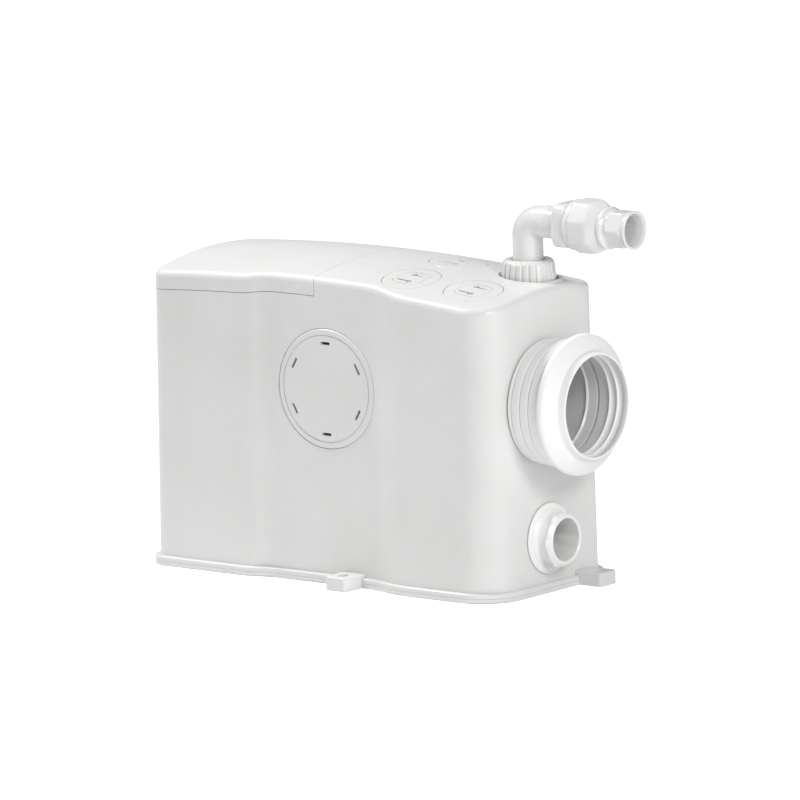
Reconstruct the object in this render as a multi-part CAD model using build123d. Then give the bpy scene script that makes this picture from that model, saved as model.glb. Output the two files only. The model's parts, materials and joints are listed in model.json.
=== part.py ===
from build123d import *
from math import cos, pi, radians, sin, sqrt, tan
import os

os.makedirs("parts", exist_ok=True)

# Driving dimensions, in millimetres and degrees
# Axes: X runs along the tank to its inlet end, -Y is the front, Z is up from the floor

tank_length = 410.0
tank_depth = 172.0
wall = 4.0
draft = 0.66
front_step_left = 3.0
front_recess = 11.0
end_corner_radius = 38.0
small_corner_radius = 18.0
crown_height = 299.0
crown_x = -40.0
crown_y = 19.0
crown_radius_x = 2083.0
crown_radius_y = 385.0
top_edge_radius = 7.0

flange_out = 5.0
base_flange = 4.3
hood_flange = 4.5
joint_gap = 0.2
floor_thickness = 3.5
foot_width = 25.0
foot_reach = 25.0
foot_height = 13.0
foot_screw_radius = 2.75
front_foot_x = 32.0
side_foot_y = 51.0

lid_edge_x = -10.0
lid_depth = 16.7
lid_wall = 3.5
lid_seam = 0.6
lid_lift = 60.0

running_fit = 0.05
loose_fit = 0.3

disc_x = 3.0
disc_z = 184.5
disc_radius = 56.6
disc_dome = 2.6
disc_turn = 30.0

inlet_y = 0.0
sleeve_z = 180.0
sleeve_length = 61.5
sleeve_bore_radius = 47.5
sleeve_root_radius = 60.0
sleeve_shoulder_radius = 66.5

waste_z = 50.4
waste_bore_radius = 20.0
waste_neck_radius = 24.0
waste_ring_radius = 33.5
waste_reach = 20.5

port_pitch_x = 72.5
port_pitch_y = 71.5
port_x = 80.8
port_y = -39.5
port_radius = 28.4
port_gap = 0.5
port_bore_radius = 21.0
cap_turn = 90.0

riser_x = 161.3
riser_y = 34.5
outlet_z = 341.7
pipe_radius = 14.45
pipe_bore_radius = 11.5
bend_radius = 15.0
nut_radius = 25.6
nut_top_z = 305.3
nut_height = 20.0
valve_length = 95.0
valve_collar_radius = 25.8
outlet_bore_radius = 13.8

pump_x = 35.0
pump_y = 0.0
pump_floor_z = 8.0
volute_radius = 44.0
volute_height = 34.0
shaft_radius = 6.0
impeller_radius = 36.0
basket_radius = 44.0
basket_height = 78.0
cutter_radius = 38.0
deck_z = 142.0
deck_thickness = 6.0
motor_radius = 46.0
motor_height = 88.0

# Heights and planes that follow from the sizes above

half_length = tank_length / 2
half_depth = tank_depth / 2
hood_z = base_flange + joint_gap
flange_top = hood_z + hood_flange
lean = tan(radians(draft))
front_y = -half_depth
back_y = half_depth
left_front_y = front_y + front_step_left
recess_y = front_y + front_recess


def wall_x(z):
    """Outer face of the inlet end wall at a height."""
    return half_length - lean * (z - hood_z)


def recess_face_y(z):
    """Outer face of the recessed middle of the front wall at a height."""
    return recess_y + lean * (z - hood_z)


def crown_z(x, y):
    """Height of the crowned top at a place in plan."""
    rise = sqrt(crown_radius_y ** 2 - (y - crown_y) ** 2) - crown_radius_y
    reach = crown_radius_x + rise
    return crown_height - crown_radius_x + sqrt(reach ** 2 - (x - crown_x) ** 2)


def crown_normal(x, y):
    """Unit vector that stands square on the crowned top at a place in plan."""
    step = 0.5
    slope_x = (crown_z(x + step, y) - crown_z(x - step, y)) / (2 * step)
    slope_y = (crown_z(x, y + step) - crown_z(x, y - step)) / (2 * step)
    return Vector(-slope_x, -slope_y, 1).normalized()


# Shared shapes


def rod_z(radius, low, high, x=0.0, y=0.0):
    return Pos(x, y, (low + high) / 2) * Cylinder(radius, high - low)


def rod_x(radius, start, end, y=0.0, z=0.0):
    return Pos((start + end) / 2, y, z) * Rot(0, 90, 0) * Cylinder(radius, end - start)


def rod_y(radius, start, end, x=0.0, z=0.0):
    return Pos(x, (start + end) / 2, z) * Rot(90, 0, 0) * Cylinder(radius, end - start)


def tube_z(outer, inner, low, high, x=0.0, y=0.0):
    return rod_z(outer, low, high, x, y) - rod_z(inner, low - 1, high + 1, x, y)


def tube_x(outer, inner, start, end, y=0.0, z=0.0):
    return rod_x(outer, start, end, y, z) - rod_x(inner, start - 1, end + 1, y, z)


def block(x0, x1, y0, y1, z0, z1):
    return Pos((x0 + x1) / 2, (y0 + y1) / 2, (z0 + z1) / 2) * Box(x1 - x0, y1 - y0, z1 - z0)


def turned_x(points, y, z):
    """Solid of revolution about a line along X, from (x, radius) points."""
    outline = make_face(Polyline(*[(x, r) for x, r in points], close=True))
    body = revolve(outline, Axis.X, 360)
    return Pos(0, y, z) * body


def turned_z(points, x, y):
    """Solid of revolution about a line along Z, from (radius, height) points."""
    outline = Plane.XZ * make_face(Polyline(*[(r, h) for r, h in points], close=True))
    return Pos(x, y, 0) * revolve(outline, Axis.Z, 360)


def tank_outline(grow):
    """Plan of the tank walls: a wavy front with one large corner, grown by a margin."""
    corners = [
        (-half_length, back_y, small_corner_radius),
        (-half_length, left_front_y, small_corner_radius),
        (-88.0, left_front_y, 45.0),
        (-66.0, recess_y, 45.0),
        (58.0, recess_y, 50.0),
        (93.0, front_y, 90.0),
        (half_length, front_y, end_corner_radius),
        (half_length, back_y, small_corner_radius),
    ]
    points = [(x, y) for x, y, radius in corners]
    radii = [radius for x, y, radius in corners]
    ring = FilletPolyline(*points, radius=radii, close=True)
    plan = make_face(ring)
    if grow:
        plan = offset(plan, grow)
    return plan


def drafted(grow, low, high):
    """Walls that lean in as they rise, cut from the tank outline."""
    start = grow - lean * (low - hood_z)
    return extrude(Pos(0, 0, low) * tank_outline(start), high - low, taper=draft)


def under_crown(drop):
    """Everything below the crowned top, lowered square to itself by a drop."""
    radius = crown_radius_y - drop
    middle_z = crown_height - crown_radius_y
    half_width = 150.0
    low = -30.0
    steps = [half_width * k / 6 for k in range(-6, 7)]
    curve = [(crown_y + step, middle_z + sqrt(radius ** 2 - step ** 2)) for step in steps]
    arch = Spline(*curve)
    left, right = curve[0], curve[-1]
    sides = Polyline(right, (right[0], low), (left[0], low), left)
    section = Plane.YZ * make_face([arch, sides])
    hub_z = crown_height - crown_radius_x
    sweep_angle = 20.0
    wedge = revolve(section, Axis((0, 0, hub_z), (0, 1, 0)), sweep_angle)
    wedge = wedge.rotate(Axis((0, 0, hub_z), (0, 1, 0)), -sweep_angle / 2)
    return Pos(crown_x, 0, 0) * wedge



top_z = crown_height + 10
outer_form = drafted(0, hood_z, top_z) & under_crown(0)
roof = max(outer_form.faces(), key=lambda face: face.center().Z)
outer_form = fillet(roof.outer_wire().edges(), top_edge_radius)


# Base: floor, flange, feet and the posts that carry the pump

base_floor_low = 0.0
base_floor_top = base_floor_low + floor_thickness
rim_width = 3.0
rim_height = 8.0
post_radius = 6.0
post_spread_x = 46.0
post_spread_y = 52.0
base_screw_radius = 1.8
screw_sink = 2.4
boss_radius = 6.0
boss_height = 26.0
corner_inset = 12.0
front_boss_x = -12.0

boss_sunk = 1.2
big_corner = (end_corner_radius - wall - boss_radius + boss_sunk) / sqrt(2)
boss_places = [
    (-half_length + corner_inset, left_front_y + corner_inset),
    (front_boss_x, recess_y + wall + boss_radius - boss_sunk),
    (half_length - end_corner_radius + big_corner, front_y + end_corner_radius - big_corner),
    (half_length - corner_inset, back_y - corner_inset),
    (front_boss_x, back_y - wall - boss_radius + boss_sunk),
    (-half_length + corner_inset, back_y - corner_inset),
]
post_places = [
    (pump_x + side_x * post_spread_x, pump_y + side_y * post_spread_y)
    for side_x in (-1, 1)
    for side_y in (-1, 1)
]
foot_overlap = 3.0


def foot(x, y, angle):
    """Floor foot with its screw hole, standing out from the flange; angle 0 reaches along +X."""
    length = foot_reach + flange_out - loose_fit
    body = Pos(length / 2 + loose_fit, 0, foot_height / 2) * Box(length, foot_width, foot_height)
    outer_edges = body.edges().filter_by(Axis.Z).group_by(Axis.X)[-1]
    body = fillet(outer_edges, 4.0)
    body = fillet(body.faces().sort_by(Axis.Z)[-1].edges().group_by(Axis.X)[-1], 1.2)
    hole_x = length - 12.0
    hole = rod_z(foot_screw_radius, -1, foot_height + 1, hole_x)
    sink = rod_z(foot_screw_radius * 2, foot_height - 2.5, foot_height + 1, hole_x)
    return Pos(x, y, 0) * Rot(0, 0, angle) * (body - hole - sink)


foot_hole_reach = foot_reach + flange_out - loose_fit - 12.0
feet_places = [
    (half_length, side_foot_y, 0),
    (front_foot_x, back_y, 90),
    (-half_length, side_foot_y, 180),
    (front_foot_x, recess_y, -90),
]


def foot_notch(x, y, angle):
    """Room that the hood flange leaves round a foot."""
    gap = loose_fit
    length = foot_reach + flange_out
    room = Pos(length / 2 + 0.05, 0, 10) * Box(length, foot_width + 2 * gap, 20)
    return Pos(x, y, 0) * Rot(0, 0, angle) * room


def make_base():
    """Floor tray with the lower flange, a rim that centres the hood, four feet and four posts."""
    flange = extrude(tank_outline(flange_out), base_flange)
    bottom_edges = flange.faces().sort_by(Axis.Z)[0].edges()
    flange = chamfer(bottom_edges, 0.8)
    lift = extrude(Pos(0, 0, base_floor_top) * tank_outline(-wall), 20)
    rim_out = extrude(Pos(0, 0, base_floor_low) * tank_outline(-wall - loose_fit), rim_height + base_floor_top)
    rim_in = extrude(Pos(0, 0, base_floor_top) * tank_outline(-wall - loose_fit - rim_width), 30)
    base = flange - lift + (rim_out - rim_in)
    for x, y in boss_places:
        base -= rod_z(boss_radius + loose_fit, hood_z, 40, x, y)
        base -= rod_z(base_screw_radius + 0.4, -1, 20, x, y)
        base -= rod_z(base_screw_radius * 2 + 0.4, -1, screw_sink, x, y)
    for x, y in post_places:
        base += rod_z(post_radius, base_floor_low, deck_z, x, y)
        base -= rod_z(base_screw_radius, deck_z - 14, deck_z + 1, x, y)
    for place in feet_places:
        base += foot(*place)
    groove = extrude(Pos(0, 0, base_flange - 1.5) * (tank_outline(1.0) - tank_outline(-1.0)), 5)
    return base - groove


def make_base_gasket():
    ring = tank_outline(0.9) - tank_outline(-0.9)
    return extrude(Pos(0, 0, base_flange - 1.5) * ring, 1.5 + joint_gap / 2)


def make_base_screws():
    """Screws from below the floor into the hood's bosses."""
    screws = []
    for x, y in boss_places:
        shank = rod_z(base_screw_radius - 0.1, screw_sink - 1, hood_z + 14, x, y)
        head = rod_z(base_screw_radius * 2, screw_sink - 2, screw_sink, x, y)
        screws.append(shank + head)
    return Compound(screws)


# Top ports: sockets in the hood, screw caps and their seals

port_seat_depth = 9.0
port_socket_radius = port_radius + 3.0
port_pipe_wall = 3.0
port_pipe_depth = 26.0
cap_radius = port_radius - port_gap
plug_radius = port_bore_radius - loose_fit
plug_depth = 20.0
seal_wire = 0.6
key_depth = 5.0
cap_places = {
    "left": (port_x, port_y),
    "right": (port_x + port_pitch_x, port_y),
    "rear": (port_x, port_y + port_pitch_y),
}


def on_crown(x, y):
    """Frame with its origin on the crowned top and Z square to it."""
    normal = crown_normal(x, y)
    along_x = Vector(1, 0, -normal.X / normal.Z)
    return Plane(origin=(x, y, crown_z(x, y)), x_dir=along_x, z_dir=normal).location


def make_cap(x, y):
    """Port cap flush with the top: round head, rounded square panel line and two key slots."""
    place = on_crown(x, y)
    head = rod_z(cap_radius, -port_seat_depth + loose_fit, 6)
    plug = rod_z(plug_radius, -plug_depth, -port_seat_depth + 1)
    core = rod_z(plug_radius - 3.5, -plug_depth - 1, -port_seat_depth - 2)
    groove = rod_z(plug_radius + 1, -16.2, -13.8) - rod_z(plug_radius - 1.2, -17, -13)
    cap = place * (head + plug - core - groove) & under_crown(0)
    rim = cap.edges().filter_by(lambda edge: edge.center().Z > crown_z(x, y) - 3).sort_by(Edge.length)[-1]
    cap = chamfer(rim, 0.5)
    panel = RectangleRounded(31, 31, 9)
    line = extrude(panel, 10) - extrude(offset(panel, -0.8), 10)
    cap -= place * Pos(0, 0, -0.9) * line
    for turn in (0, 180):
        slot = Pos(-4.0, -7.6) * Rot(0, 0, -4) * (SlotOverall(16, 2.0) + Pos(7.0, -0.4) * Circle(2.9))
        cap -= place * Rot(0, 0, turn) * Pos(0, 0, -key_depth) * extrude(slot, 20)
    return cap


def make_port_seals():
    """Round rings in the grooves of the three port plugs."""
    ring = Pos(0, 0, -15) * Torus(plug_radius - 0.35, seal_wire)
    return Compound([on_crown(x, y) * ring for x, y in cap_places.values()])


# Hood: the moulded tank shell with every opening in it

partition = 4.0
rim_gap = loose_fit
lid_rim_width = 2.2
lid_rim_drop = 6.5
tray_x0 = -188.0
tray_x1 = -46.0
tray_y0 = -56.0
tray_y1 = 62.0
spigot_radius = 55.0
spigot_bore = 50.0
spigot_length = 24.0
vent_gap = 0.5
cover_hub_radius = 4.0
vent_pocket_depth = 14.0
vent_pocket_wall = 3.0
waste_hole_radius = 22.8
gland_x = -110.0
gland_z = 232.0
gland_radius = 8.0
nut_well_radius = 28.4
riser_seat_z = 262.0

vent_place = Pos(disc_x, recess_face_y(disc_z), disc_z) * Rot(90 - draft, 0, 0)


def lid_room(margin, drop):
    """Space of the service lid: left of the edge line and above the lowered crown."""
    zone = block(-half_length - 5, lid_edge_x - margin, front_y - 5, back_y + 5, 200, top_z)
    return zone - under_crown(drop)


def lid_ring(reach, low):
    """Upright wall that follows the lid's skirt at a distance inside it."""
    end_x = lid_edge_x - lid_seam - reach
    return drafted(-reach, low, top_z) & block(-half_length, end_x, front_y, back_y, 0, top_z)


def hood_shell():
    """Empty tank shell: crowned roof, lower lid deck and the bottom flange."""
    shell = outer_form - lid_room(0, lid_depth)
    flange = extrude(Pos(0, 0, hood_z) * tank_outline(flange_out), hood_flange)
    flange = chamfer(flange.faces().sort_by(Axis.Z)[-1].edges(), 0.8)
    inner = drafted(-wall, hood_z - 1, top_z)
    middle_x = lid_edge_x + partition
    right = inner & under_crown(wall) & block(middle_x, half_length, front_y, back_y, 0, top_z)
    left = inner & under_crown(lid_depth + wall) & block(-half_length, middle_x, front_y, back_y, 0, top_z)
    return shell + flange - right - left


def make_hood():
    """Tank shell with the lid deck, base bosses, port sockets, inlet spigot and vent pocket."""
    reach = lid_wall + rim_gap
    rim = (lid_ring(reach, 240) - lid_ring(reach + lid_rim_width, 239)) & under_crown(lid_rim_drop)
    hood = hood_shell() + [rim - under_crown(lid_depth + 1)]
    hood -= [foot_notch(*place) for place in feet_places]
    hood -= block(tray_x0 - 0.5, tray_x1 + 0.5, tray_y0 - 0.5, tray_y1 + 0.5, 200, top_z)
    hood += [rod_z(boss_radius, hood_z, hood_z + boss_height, x, y) for x, y in boss_places]
    hood -= [rod_z(base_screw_radius, hood_z - 1, hood_z + 18, x, y) for x, y in boss_places]
    for x, y in cap_places.values():
        place = on_crown(x, y)
        socket = rod_z(port_socket_radius, -port_seat_depth - 3, -2)
        pipe = rod_z(port_bore_radius + port_pipe_wall, -port_pipe_depth, -port_seat_depth - 2)
        recess = rod_z(port_radius, -port_seat_depth, 8)
        bore = rod_z(port_bore_radius, -port_pipe_depth - 1, 0)
        hood = hood + place * (socket + pipe) - place * (recess + bore)
    well_top = crown_z(riser_x, riser_y) - 2
    hood += rod_z(nut_well_radius + 3, riser_seat_z, well_top, riser_x, riser_y)
    hood -= rod_z(nut_well_radius, riser_seat_z + 3, top_z, riser_x, riser_y)
    hood -= rod_z(pipe_radius + 0.5, riser_seat_z - 1, riser_seat_z + 4, riser_x, riser_y)
    face = wall_x(sleeve_z)
    hood += rod_x(spigot_radius, face - wall + 0.5, face + spigot_length, inlet_y, sleeve_z)
    hood -= rod_x(spigot_bore, face - 10, face + spigot_length + 1, inlet_y, sleeve_z)
    hood -= Pos(half_length - wall, inlet_y, waste_z) * Rot(30, 90, 0) * Cylinder(waste_hole_radius, wall * 4)
    hood += vent_place * rod_z(disc_radius + vent_gap + vent_pocket_wall, -vent_pocket_depth, -1)
    hood -= vent_place * rod_z(disc_radius + vent_gap, -vent_pocket_depth + 2, 10)
    vents = [rod_z(cover_hub_radius + running_fit, -vent_pocket_depth - 2, 0)]
    for ring_radius, count in ((14.0, 6), (30.0, 12)):
        vents += [
            Rot(0, 0, 360 * k / count) * Pos(ring_radius, 0, 0) * rod_z(4.0, -vent_pocket_depth - 2, 0)
            for k in range(count)
        ]
    hood -= [vent_place * vent for vent in vents]
    return hood - rod_y(gland_radius + 0.3, back_y - 12, back_y + 5, gland_x, gland_z)


# Service lid, its gasket and the dry tray under it


def make_lid():
    """Lid over the left of the tank: crowned top with a skirt on all four sides."""
    lid = outer_form & block(-half_length - 5, lid_edge_x - lid_seam, front_y - 5, back_y + 5, 200, top_z)
    lid -= under_crown(lid_depth - lid_seam)
    inner = drafted(-lid_wall, 230, top_z) & under_crown(lid_wall)
    inner = inner & block(-half_length, lid_edge_x - lid_seam - lid_wall, front_y, back_y, 0, top_z)
    return lid - inner


def make_lid_gasket():
    """Soft ring on top of the hood's rim, just under the lid."""
    reach = lid_wall + rim_gap
    ring = lid_ring(reach, 240) - lid_ring(reach + lid_rim_width, 239) - under_crown(lid_rim_drop)
    return ring & under_crown(lid_wall + loose_fit)


tray_floor_z = 150.0
tray_wall = 2.5
tray_lip = 7.0
chamber_x = -118.0
chamber_y = 2.0
chamber_radius = 20.0
chamber_wall = 2.5
chamber_low = 14.0


def make_tray():
    """Dry tray that hangs in the deck opening by a curved lip and holds the electrics."""
    body = block(tray_x0, tray_x1, tray_y0, tray_y1, tray_floor_z, top_z) & under_crown(lid_depth - 2.5)
    lip = block(tray_x0 - tray_lip, tray_x1 + tray_lip, tray_y0 - tray_lip, tray_y1 + tray_lip, 200, top_z)
    lip = (lip & under_crown(lid_depth - 2.5)) - under_crown(lid_depth)
    room = block(
        tray_x0 + tray_wall, tray_x1 - tray_wall, tray_y0 + tray_wall, tray_y1 - tray_wall, tray_floor_z + tray_wall, top_z
    )
    tray = body + lip - room
    tray -= rod_z(chamber_radius - chamber_wall, tray_floor_z - 1, tray_floor_z + 5, chamber_x, chamber_y)
    tray -= rod_y(gland_radius + 0.3, tray_y1 - 5, tray_y1 + 5, gland_x, gland_z)
    return tray


# Level switch: air bell, membrane, plunger and micro switch


def make_chamber():
    """Air bell: open below, its flange under the tray floor."""
    bell = tube_z(chamber_radius, chamber_radius - chamber_wall, chamber_low, tray_floor_z, chamber_x, chamber_y)
    flange = tube_z(
        chamber_radius + 8, chamber_radius - chamber_wall, tray_floor_z - 4, tray_floor_z, chamber_x, chamber_y
    )
    return bell + flange


membrane_z = tray_floor_z + tray_wall
membrane_radius = 25.0
dome_height = 12.0
plunger_radius = 3.0
switch_travel = 2.0


def make_membrane():
    return rod_z(membrane_radius, membrane_z, membrane_z + 1.2, chamber_x, chamber_y)


def make_dome():
    """Clamp dome over the membrane with the guide of the plunger and the switch cradle."""
    low = membrane_z + 1.2
    dome = turned_z(
        [
            (plunger_radius + running_fit, low + dome_height),
            (plunger_radius + 5, low + dome_height),
            (plunger_radius + 7, low + 5),
            (membrane_radius, low + 3),
            (membrane_radius, low),
            (membrane_radius - 3, low),
            (plunger_radius + 5, low + 3),
            (plunger_radius + running_fit, low + dome_height - 5),
        ],
        chamber_x,
        chamber_y,
    )
    cradle = block(
        chamber_x - 16, chamber_x + 16, chamber_y + 4.3, chamber_y + 7, low + dome_height - 6, low + dome_height + 16
    )
    return dome + cradle


def make_plunger():
    low = membrane_z + 1.2 + 0.3
    foot_pad = rod_z(plunger_radius + 1.2, low, low + 1.5, chamber_x, chamber_y)
    stem = rod_z(plunger_radius, low, low + dome_height + 3, chamber_x, chamber_y)
    return stem + foot_pad


def make_switch():
    """Micro switch body with its terminals, above the plunger by its travel."""
    low = membrane_z + 1.5 + dome_height + 3 + switch_travel + loose_fit
    body = block(chamber_x - 14, chamber_x + 14, chamber_y - 5.5, chamber_y + 4.3, low, low + 16)
    body = fillet(body.edges().filter_by(Axis.Y), 1.0)
    for shift in (-9, 0, 9):
        body += block(
            chamber_x + shift - 2.4, chamber_x + shift + 2.4, chamber_y - 1.0, chamber_y - 0.2, low + 16, low + 23
        )
    for shift in (-9, 9):
        body -= rod_y(1.5, chamber_y - 6, chamber_y + 5, chamber_x + shift, low + 4)
    return body


# Electrics in the tray

capacitor_x = -70.0
capacitor_y = 30.0
capacitor_radius = 17.5
capacitor_height = 68.0
terminal_x = -165.0
terminal_y = 40.0


def make_capacitor():
    low = membrane_z + 3
    can = rod_z(capacitor_radius, low, low + capacitor_height, capacitor_x, capacitor_y)
    can = fillet(can.edges().sort_by(Axis.Z)[0], 2.0)
    for shift in (-5, 5):
        can += block(
            capacitor_x + shift - 0.4, capacitor_x + shift + 0.4, capacitor_y - 3, capacitor_y + 3,
            low + capacitor_height, low + capacitor_height + 8,
        )
    return can


def make_capacitor_clip():
    """Cup that stands on the tray floor and grips the capacitor's foot."""
    low = membrane_z
    cup = rod_z(capacitor_radius + 2.5, low, low + 18, capacitor_x, capacitor_y)
    return cup - rod_z(capacitor_radius + 0.2, low + 3, low + 30, capacitor_x, capacitor_y)


def make_terminal_block():
    """Row of four screw terminals."""
    low = membrane_z
    body = block(terminal_x - 9, terminal_x + 9, terminal_y - 44, terminal_y + 4, low, low + 14)
    for k in range(4):
        y = terminal_y - 38 + 12 * k
        body += block(terminal_x - 5, terminal_x + 5, y - 4.5, y + 4.5, low + 14, low + 19)
        body -= rod_z(2.6, low + 8, low + 20, terminal_x, y)
        body -= rod_x(1.8, terminal_x - 10, terminal_x + 10, y, low + 7)
    return body


def make_terminal_screws():
    screws = []
    for k in range(4):
        y = terminal_y - 38 + 12 * k
        screw = rod_z(2.3, membrane_z + 10, membrane_z + 17, terminal_x, y)
        slot = block(terminal_x - 3, terminal_x + 3, y - 0.4, y + 0.4, membrane_z + 16, membrane_z + 18)
        screws.append(screw - slot)
    return Compound(screws)


# Cable gland in the rear wall: only the empty gland

gland_face = back_y - lean * (gland_z - hood_z)
gland_hex = 12.0


def make_gland_body():
    """Hollow gland through the rear wall and the tray wall, with a hexagon outside."""
    pipe = rod_y(gland_radius, tray_y1 - 6, gland_face + 17, gland_x, gland_z)
    hexagon = Pos(gland_x, gland_face + 0.3, gland_z) * Rot(-90, 0, 0) * extrude(RegularPolygon(gland_hex, 6), 5)
    return pipe + hexagon - rod_y(5.0, tray_y1 - 8, gland_face + 20, gland_x, gland_z)


def make_gland_lock_nut():
    nut = Pos(gland_x, tray_y1 - tray_wall - 5, gland_z) * Rot(-90, 0, 0) * extrude(RegularPolygon(gland_hex, 6), 4.7)
    return nut - rod_y(gland_radius + running_fit, tray_y1 - 12, tray_y1, gland_x, gland_z)


def make_gland_dome():
    """Dome nut that screws over the gland's outer end; its mouth is empty."""
    start = gland_face + 5.6
    points = [
        (gland_radius + running_fit, start),
        (gland_hex - 1.5, start),
        (gland_hex - 1.5, start + 9),
        (gland_hex - 3.5, start + 14),
        (gland_radius - 1.0, start + 16),
        (gland_radius - 2.5, start + 16),
        (gland_radius - 2.5, start + 13),
        (gland_radius + running_fit, start + 12),
    ]
    outline = make_face(Polyline(*points, close=True))
    dome = Pos(gland_x, 0, gland_z) * revolve(outline, Axis.Y, 360)
    for k in range(6):
        turn = Rot(0, 60 * k, 0)
        flat = Pos(gland_hex + 8.9, start + 4.5, 0) * Box(20, 9, 20)
        dome -= Pos(gland_x, 0, gland_z) * turn * flat
    return dome


# Rubber sleeve for the pan outlet


def make_sleeve():
    """Rubber sleeve: ribbed root over the spigot, wide shoulder, cone and thin mouth with inner lips."""
    face = wall_x(sleeve_z) + 0.6
    span = sleeve_length - 0.6
    root = sleeve_root_radius
    shoulder = sleeve_shoulder_radius
    bore = sleeve_bore_radius
    points = [(0.0, spigot_radius + 0.1), (0.0, root - 0.6), (0.8, root)]
    for place in (7.5, 15.5, 24.5):
        grow = place * 0.045
        points += [
            (place - 1.4, root + grow),
            (place - 0.3, root + grow - 1.6),
            (place + 0.6, root + grow - 1.6),
            (place + 1.6, root + grow + 0.2),
        ]
    points += [
        (33.8, root + 1.7),
        (35.0, root + 0.6),
        (36.2, root + 1.4),
        (38.0, shoulder - 1.6),
        (40.6, shoulder - 0.3),
        (43.4, shoulder),
        (46.0, shoulder - 0.8),
        (47.6, shoulder - 2.6),
        (span - 9.2, bore + 6.2),
        (span - 8.4, bore + 3.9),
        (span - 7.2, bore + 3.3),
        (span - 0.8, bore + 2.9),
        (span, bore + 2.2),
        (span, bore + 0.6),
        (span - 0.6, bore),
        (span - 4.6, bore),
        (span - 6.0, bore + 1.6),
    ]
    for place in (span - 12.5, span - 22.5):
        points += [
            (place + 2.6, bore + 2.8),
            (place + 0.4, bore + 0.4),
            (place - 0.4, bore + 0.4),
            (place - 1.0, bore + 2.8),
        ]
    points += [
        (spigot_length + 1.2, bore + 2.8),
        (spigot_length + 0.6, spigot_radius + 0.1),
    ]
    return Pos(face, 0, 0) * turned_x(points, inlet_y, sleeve_z)


# Waste inlet with its non-return flap

waste_face = half_length
waste_end = waste_face + waste_reach
waste_inner_end = half_length - 19.0
waste_hex_length = 6.0
flap_radius = waste_bore_radius + 1.6
flap_hinge_z = waste_z + flap_radius + 3.0
flap_pin_radius = 1.2
flap_open = 60.0


def make_waste_inlet():
    """Push-in waste fitting: ring on the wall, neck with a hexagon end, tail with flap ears."""
    profile = [
        (waste_inner_end, waste_bore_radius),
        (waste_inner_end, waste_bore_radius + 2.4),
        (waste_face + 0.3, waste_bore_radius + 2.4),
        (waste_face + 0.3, waste_ring_radius),
        (waste_face + 1.5, waste_ring_radius),
        (waste_face + 2.3, waste_ring_radius - 0.9),
        (waste_face + 2.3, waste_neck_radius + 3.4),
        (waste_face + 3.3, waste_neck_radius + 2.4),
        (waste_face + 3.3, waste_neck_radius + 0.6),
        (waste_face + 3.9, waste_neck_radius),
        (waste_end - 1.5, waste_neck_radius),
        (waste_end - 1.5, waste_bore_radius),
    ]
    body = turned_x(profile, inlet_y, waste_z)
    across_flats = waste_neck_radius * 2 + 0.8
    hexagon = Plane.YZ * RegularPolygon(across_flats / 2, 6, major_radius=False)
    start = waste_end - waste_hex_length
    head = Pos(start, inlet_y, waste_z) * extrude(hexagon, waste_hex_length)
    corner = across_flats / sqrt(3)
    cone = turned_x(
        [
            (start, 0),
            (start, corner - 0.6),
            (start + 1.2, corner + 0.5),
            (waste_end - 2.6, corner + 0.5),
            (waste_end, waste_neck_radius - 1.2),
            (waste_end, 0),
        ],
        inlet_y,
        waste_z,
    )
    head = head & cone
    head -= rod_x(waste_bore_radius, start - 1, waste_end + 1, inlet_y, waste_z)
    body += head
    ear_z = flap_hinge_z
    for side in (-1, 1):
        y = inlet_y + side * 13.0
        ear = block(waste_inner_end + 0.2, waste_inner_end + 3, y - 1.5, y + 1.5, ear_z - 7.5, ear_z + 3)
        ear += block(waste_inner_end - 4, waste_inner_end + 1, y - 1.5, y + 1.5, ear_z - 4.5, ear_z + 3)
        body += ear - rod_x(waste_bore_radius, waste_inner_end - 6, waste_inner_end + 6, inlet_y, waste_z)
    for side in (-1, 1):
        y = inlet_y + side * 13.0
        body -= rod_y(flap_pin_radius + 0.02, y - 3, y + 3, waste_inner_end - 2.0, ear_z)
    return body


def make_waste_seal():
    """Flat ring between the fitting's collar and the leaning wall."""
    ring = tube_x(waste_ring_radius - 1.5, waste_hole_radius, waste_face - 3, waste_face + 0.25, inlet_y, waste_z)
    wall_side = Pos(wall_x(waste_z) + 0.05, inlet_y, waste_z) * Rot(0, -draft, 0) * Pos(-20, 0, 0) * Box(40, 100, 100)
    return ring - wall_side


def make_waste_lock_nut():
    """Ring nut inside the wall that clamps the fitting."""
    start = half_length - 9.0
    nut = Pos(start, inlet_y, waste_z) * (Plane.YZ * extrude(RegularPolygon(30.0, 8), 4.2))
    return nut - rod_x(waste_bore_radius + 2.4 + running_fit, start - 5, start + 10, inlet_y, waste_z)


def make_flap_pin():
    return rod_y(flap_pin_radius, inlet_y - 14.5, inlet_y + 14.5, waste_inner_end - 2.0, flap_hinge_z)


def make_waste_flap():
    """Round flap that hangs behind the waste inlet on a pin."""
    back = waste_inner_end - loose_fit
    disc = rod_x(flap_radius, back - 2.2, back, inlet_y, waste_z)
    disc -= Pos(waste_inner_end - 2, inlet_y, flap_hinge_z) * Box(12, 60, 6)
    barrel = rod_y(2.4, inlet_y - 11, inlet_y + 11, waste_inner_end - 2.0, flap_hinge_z)
    web = block(back - 2.2, back, inlet_y - 10, inlet_y + 10, waste_z, flap_hinge_z)
    flap = disc + web + barrel
    return flap - rod_y(flap_pin_radius + running_fit, inlet_y - 12, inlet_y + 12, waste_inner_end - 2.0, flap_hinge_z)


# Vent in the front: round cover, filter pad behind it

cover_skirt = 3.0
slot_length = 11.5
slot_width = 2.8
slot_ring_radius = 43.0
cover_groove_radius = 50.5
filter_gap = 0.8


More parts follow.
